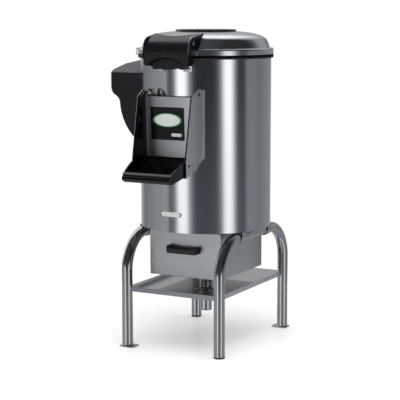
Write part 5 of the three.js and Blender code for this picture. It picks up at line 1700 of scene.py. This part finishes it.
@dataclass
class Controls(Assembly):
    """The casing at the drum's left with its buttons, timer and cable gland."""

    outside: float = -298
    front: float = -70
    back: float = 110
    level: float = 806
    start: float = -38
    stop: float = -4
    timer: float = 50
    button_radius: float = 11
    button_proud: float = 6
    pocket_floor: float = -284
    bezel_radius: float = 15.3
    gap: float = 0.3
    dial: float = 21
    travel: float = 4
    ridge: float = 859
    roof: Tuple[Point, ...] = ((20, 851), (-55, 836))
    eave: float = 827
    gland_place: Tuple[float, float] = (-238, 735)

    def casing(self) -> Piece:
        """The casing: a swept outline under a sloping roof, cut to the drum.

        Returns:
            The casing with its strip, bezels and pockets.
        """
        def sweep(start: Point, pull: Point, end: Point, steps: int = 10) -> List[Point]:
            """Points on a curve.

            Args:
                start: Where it starts, which isn't one of the points.
                pull: Where it leans to.
                end: Where it ends.
                steps: How many points it has.

            Returns:
                The points.
            """
            shares = [i / steps for i in range(1, steps + 1)]
            return [tuple((1 - t) ** 2 * a + 2 * t * (1 - t) * p + t * t * b
                          for a, p, b in zip(start, pull, end)) for t in shares]

        waist, neck, toe = (self.outside, 785), (-266, 728), (-187.35, 602)
        middle = (-282, 756.5)
        outline = [(self.outside, 870), waist, *sweep(waist, (self.outside, 763.6), middle),
                   *sweep(middle, (-266, 747), neck), *sweep(neck, (-258, 654.5), toe, 16),
                   (-150, 602), (-150, 870)]
        casing = self.slab("control_casing", outline, Axis.Y, self.front, self.back)
        side = [(self.front, 590), (self.back, 590), (self.back, self.ridge), *self.roof,
                (self.front, self.eave)]
        self.merge(casing, self.slab("roof", side, Axis.X, -330, 0), cut=Cut.SHARED)
        strip = self.slab("strip", box(-203.4, -185, 769, 825, 1), Axis.Y, self.front - 2, -50)
        drum = self.rod("drum", 202.6, 500, 900, steps=240)
        self.merge(casing, strip, cut=Cut.WELD)
        self.merge(casing, drum)
        self.soften(casing, 2.2, 4, 35)
        spot, step = (self.start, self.level), self.moved(y=self.stop - self.start)
        bezel = self.ring("bezel", 9, self.bezel_radius, self.outside - 2, self.outside + 3,
                          Axis.X, spot, 1, 48)
        pocket = self.rod("pocket", self.button_radius + self.gap, self.outside - 12,
                          self.pocket_floor, Axis.X, spot)
        self.merge(casing, self.again(bezel, "bezel", step), bezel, cut=Cut.WELD)
        self.merge(casing, self.again(pocket, "pocket", step), pocket)
        return self.resealed(casing)

    def dark_band(self) -> Piece:
        """A near-black strip along the join of the casing and the drum, which is painted shade.

        Returns:
            The strip.
        """
        shade_strip = self.ring("casing_shade_strip", 200.15, 202.8, 602, 861, steps=240)
        front, back = self.front + 0.8, self.back - 0.8
        side = [(front, 603), (back, 603), (back, self.ridge - 0.4),
                *((y, z - 0.6) for y, z in self.roof), (front, self.eave - 0.6)]
        return self.merge(shade_strip, self.slab("side", side, Axis.X, -330, -60), cut=Cut.SHARED)

    def button(self, name: str, y: float) -> Piece:
        """A push button with a dished face.

        Args:
            name: Its name.
            y: Its place along the casing.

        Returns:
            The button.
        """
        face, rim = self.outside - self.button_proud, self.button_radius
        back = self.pocket_floor - self.travel - self.gap
        dish = [(0, face + 1), (3, face + 0.85), (6, face + 0.4), (8.6, face)]
        profile = [*dish, *arc((rim - 1.4, face + 1.4), 1.4, 270, 360, 4), (rim, back),
                   (0, back)]
        return self.turned(name, profile, Axis.X, (y, self.level), 48)

    def knob(self) -> Piece:
        """The timer's knob: a round skirt, a boss and a waisted grip.

        Returns:
            The knob.
        """
        seat, hub = self.outside - self.gap, (self.timer, self.level)
        skirt = self.rod("timer_dial", self.dial, seat - 3, seat, Axis.X, hub, 0.8, 72)
        boss = self.rod("boss", 11, seat - 11.4, seat - 2.5, Axis.X, hub, 1.5)
        waist = rounded([(self.timer + y, self.level + z, radius) for y, z, radius in (
            (-3.2, -17, 3), (3.2, -17, 3), (4.4, 0, 20), (3.2, 17, 3), (-3.2, 17, 3),
            (-4.4, 0, 20))], 6)
        grip = self.slab("grip", waist, Axis.X, seat - 15, seat - 1.5)
        spindle = self.rod("spindle", 4, seat - 1, self.outside + 12, Axis.X, hub)
        return self.gather(skirt, boss, self.soften(grip, 1, 3), spindle)

    def marks(self) -> None:
        """The pointer on the knob, the ticks round it and the signs on the buttons."""
        seat, hub, level = self.outside - self.gap, (self.timer, self.level), self.level
        stroke = box(self.timer - 0.8, self.timer + 0.8, level + 5, level + 15.5, 0.7, 4)
        pointer = self.slab("timer_pointer", stroke, Axis.X, seat - 15.3, seat - 14)
        self.dress(pointer, WHITE, Body.TIMER)
        for kind, wide, far, steps in (("long", 1.3, 28.5, range(0, 330, 60)),
                                       ("short", 0.9, 27, range(30, 330, 60))):
            stroke = box(self.timer - wide / 2, self.timer + wide / 2, level + 23.5, level + far)
            tick = self.slab("tick", stroke, Axis.X, self.outside - 0.25, self.outside + 0.5)
            for turn in steps:
                mark = self.again(tick, f"dial_{kind}_{turn}", self.wheeled(-turn, Axis.X, hub))
                self.dress(mark, WHITE, Body.MACHINE)
            bpy.data.objects.remove(tick)
        face = self.outside - self.button_proud
        stroke = box(self.start - 0.8, self.start + 0.8, level - 4, level + 4, 0.7, 4)
        bar = self.slab("start_mark", stroke, Axis.X, face + 0.35, face + 1.6)
        self.dress(bar, WHITE, Body.START)
        ring = self.ring("stop_mark", 2.8, 4.3, face + 0.35, face + 1.8, Axis.X,
                         (self.stop, self.level), 0.3, 40)
        self.dress(ring, WHITE, Body.STOP)

    def gland(self) -> Piece:
        """The cable gland: a hexagon and a bored cap with a rounded end.

        Returns:
            The gland.
        """
        centre, seat = self.gland_place, self.back + self.gap
        nut = self.rod("gland", 14, seat, seat + 6, Axis.Y, centre, steps=6)
        self.soften(nut, 0.9, 2)
        cap = self.turned("gland_cap", [(0, seat + 5), (11, seat + 5), (11, seat + 12),
                                        *arc((5.5 + 1.5, seat + 14), 4, 0, 90, 6),
                                        (5.5, seat + 18), (5.5, seat + 7), (0, seat + 7)],
                          Axis.Y, centre, 48)
        return self.gather(nut, cap)

    def build(self) -> None:
        """Makes and dresses the controls."""
        self.dress(self.casing(), CASING, Body.MACHINE, "control_housing", angle=36)
        # Painted shade along the casing's join with the drum.
        self.dress(self.dark_band(), SHADE_BLACK, Body.MACHINE)
        green = self.button("green_button", self.start)
        red = self.again(green, "red_button", self.moved(y=self.stop - self.start))
        self.dress(green, GREEN, Body.START, "start_button")
        self.dress(red, RED, Body.STOP, "stop_button")
        self.dress(self.knob(), HANDLE, Body.TIMER, "timer_knob")
        self.dress(self.gland(), HANDLE, Body.MACHINE, "cable_gland")
        self.marks()
        low = self.rod("strip_screw_low", 2.6, self.front - 3.4, self.front - 1, Axis.Y,
                       (-194.5, 778), 0.9, 24)
        high = self.again(low, "strip_screw_high", self.moved(z=38))
        for screw in (low, high):
            self.dress(screw, BLACKENED, Body.MACHINE)


@dataclass
class Studio(Assembly):
    """The floor, the light round the machine and the camera."""

    azimuth: float = 27.961
    distance: float = 4043.8
    height: float = 1025.4
    pitch: float = 8.31
    lens: float = 118.35
    shift: float = -0.01465
    floor: float = 1500
    tilt: float = 20
    slit: float = 0.4478
    lamps: Tuple[Tuple[str, float, float, float, float], ...] = (
        ("key_lamp", 20, 68, 1.5, 24), ("fill_lamp", 45, 60, 2.8, 12))
    aim: float = 500
    stand_off: float = 3
    bands: Tuple[Point, ...] = (
        (-180, 0.36), (-164, 0.4), (-140, 0.45), (-128, 0.5), (-116, 0.2), (-103, 0.25),
        (-88, 0.29), (-77, 0.35), (-57, 0.4), (-47, 0.47), (-42, 0.1), (-36, 0.12), (-31, 0.25),
        (-22, 1.75), (-10, 1.75), (-3, 0.45), (4, 0.08), (11, 0.012), (38, 0.02), (46, 0.06),
        (53, 0.35), (59, 1.5), (63, 1.8), (71, 1.7), (79, 0.35), (85, 0.05), (97, 0.05),
        (104, 0.28), (123, 0.26), (133, 0.23), (145, 0.26), (158, 0.3))
    canopy: Tuple[Point, ...] = (
        (-1, 0.05), (0, 0.05), (0.12, 0.1), (0.3, 0.6), (0.46, 1.45), (0.76, 1.45),
        (0.88, 0.6), (0.95, 0.42), (1, 0.42))

    def surround(self, palette: Palette, way: Signal) -> Signal:
        """What the metal mirrors: upright bands below the horizon and a canopy over it.

        Args:
            palette: The world's nodes.
            way: The direction that a ray goes.

        Returns:
            The light, a little cooler where it is dark.
        """
        x, y, z = (palette.node("SeparateXYZ", {}, [way], i) for i in range(3))
        turn = x.math("ARCTAN2", x, y * -1) * math.degrees(1) + z * self.tilt
        band = palette.levels(self.bands, 180, turn)
        low, over = z.above(-0.1, 0.14), z.above(0.03, 0.06)
        band = band * (0.76 + low * 0.24) + (1 - low) * 0.09
        lean = math.radians(self.azimuth)
        away = y * math.cos(lean) - x * math.sin(lean)
        aside = x * math.cos(lean) + y * math.sin(lean)
        seam = aside + z * 2.4
        slit = seam.above(self.slit, 0.003) * (1 - seam.above(self.slit + 0.0098, 0.003))
        dim = (1 - aside.above(0.32, 0.28) * 0.72) * (1 - slit * z.above(0.19, 0.01) * 0.92)
        roof = palette.levels(self.canopy, 1, away) * dim
        level = band * (1 - over) + roof * over
        tint = palette.tint(level.above(0.22, 0.4), (0.86, 1, 1.18, 1), (0.975, 1, 1.025, 1))
        return palette.node("VectorMath", {"operation": "SCALE"},
                            {"Vector": tint, "Scale": level})

    def world(self) -> None:
        """A white surround for the camera, and bands of light and dark for the metal."""
        world = bpy.data.worlds.new("studio")
        bpy.context.scene.world = world
        world.use_nodes = True
        palette = Palette(world.node_tree)
        way = palette.node("TexCoord", {}, [], "Generated")
        height = palette.node("SeparateXYZ", {}, [way], 2)
        path = self.paths(palette)
        light = palette.tint(path["Is Glossy Ray"], 0.85 + height * 0.25,
                             self.surround(palette, way))
        seen = path["Is Camera Ray"].math("MAXIMUM", path["Is Camera Ray"],
                                          path["Is Transmission Ray"])
        light = palette.tint(seen, light, grey(1))
        shader = palette.node("Background", {}, [light])
        palette.node("OutputWorld", {}, [shader])

    def paths(self, palette: Palette) -> Dict[str, Signal]:
        """What kind of ray looks."""
        return {name: palette.node("LightPath", {}, [], name)
                for name in ("Is Camera Ray", "Is Glossy Ray", "Is Transmission Ray")}

    def ground(self) -> None:
        """A pale floor that fades into the white surround."""
        bpy.ops.object.select_all(action="DESELECT")
        bpy.ops.mesh.primitive_circle_add(vertices=96, radius=self.floor * MM,
                                          fill_type="NGON", location=self.at(Axis.Z, 0, 0, 0))
        floor = bpy.context.object
        floor.name = "floor"
        bpy.ops.object.transform_apply(location=True, rotation=True, scale=True)
        made = bpy.data.materials.new("pale_floor")
        made.use_nodes = True
        palette = Palette(made.node_tree)
        spot = palette.place((1, 1, 0), self.axis)
        far = palette.node("VectorMath", {"operation": "LENGTH"}, [spot], "Value")
        path = self.paths(palette)
        fade = 1 - (1 - far.above(self.floor * MM * 0.78, self.floor * MM * 0.4)) * (
            1 - path["Is Glossy Ray"] * 0.85)
        matt = palette.node("BsdfDiffuse", {}, {"Color": grey(0.93)})
        sheen = palette.node("BsdfGlossy", {}, {"Color": grey(1), "Roughness": 0.12})
        body = palette.node("MixShader", {}, [0.09, matt, sheen])
        lift = palette.node("Emission", {}, [path["Is Camera Ray"] * 0.13])
        lit = palette.node("AddShader", {}, [body, lift])
        clear = palette.node("BsdfTransparent", {}, {"Color": grey(1)})
        shader = palette.node("MixShader", {}, [fade, lit, clear])
        palette.node("OutputMaterial", {}, [shader])
        floor.data.materials.append(made)

    def lamp(self, name: str, turn: float, rise: float, size: float,
             power: float) -> None:
        """A soft square lamp that points at the drum.

        Args:
            name: Its name.
            turn: Its direction from the front towards +X, in degrees.
            rise: Its height over the drum's middle, in degrees.
            size: Its side in metres.
            power: Its power in watts.
        """
        light = bpy.data.lights.new(name, "AREA")
        light.size = size
        light.energy = power
        lamp = self.linked(name, light)
        aim = self.at(Axis.Z, 0, 0, self.aim)
        turn, rise = math.radians(turn), math.radians(rise)
        away = Vector((math.sin(turn) * math.cos(rise), -math.cos(turn) * math.cos(rise),
                       math.sin(rise)))
        lamp.location = aim + away * self.stand_off
        lamp.rotation_euler = away.to_track_quat("Z", "Y").to_euler()
        lamp.visible_glossy = False

    def camera(self) -> None:
        """The camera at the photograph's angle."""
        eye = bpy.data.cameras.new("camera")
        eye.lens = self.lens
        eye.shift_x = self.shift
        camera = self.linked("camera", eye)
        turn = math.radians(self.azimuth)
        camera.location = self.at(Axis.Z, self.distance * math.sin(turn),
                                  -self.distance * math.cos(turn), self.height)
        camera.rotation_euler = (math.radians(90 - self.pitch), 0, turn)
        bpy.context.scene.camera = camera

    def build(self) -> None:
        """Sets the machine in its light."""
        self.camera()
        self.ground()
        self.world()
        for lamp in self.lamps:
            self.lamp(*lamp)
        bpy.context.scene.view_settings.view_transform = "Standard"


def main() -> None:
    """Builds the machine's looks in order, then the studio round it."""
    logging.basicConfig(level=logging.INFO, format="%(name)s %(message)s")
    lid = Lid()
    Stand().build()
    Drum().build()
    Waterways().build()
    Filter().build()
    lid.build()
    Latch().build(lid)
    Outlet().build()
    Controls().build()
    Studio().build()


if __name__ == "__main__":
    main()
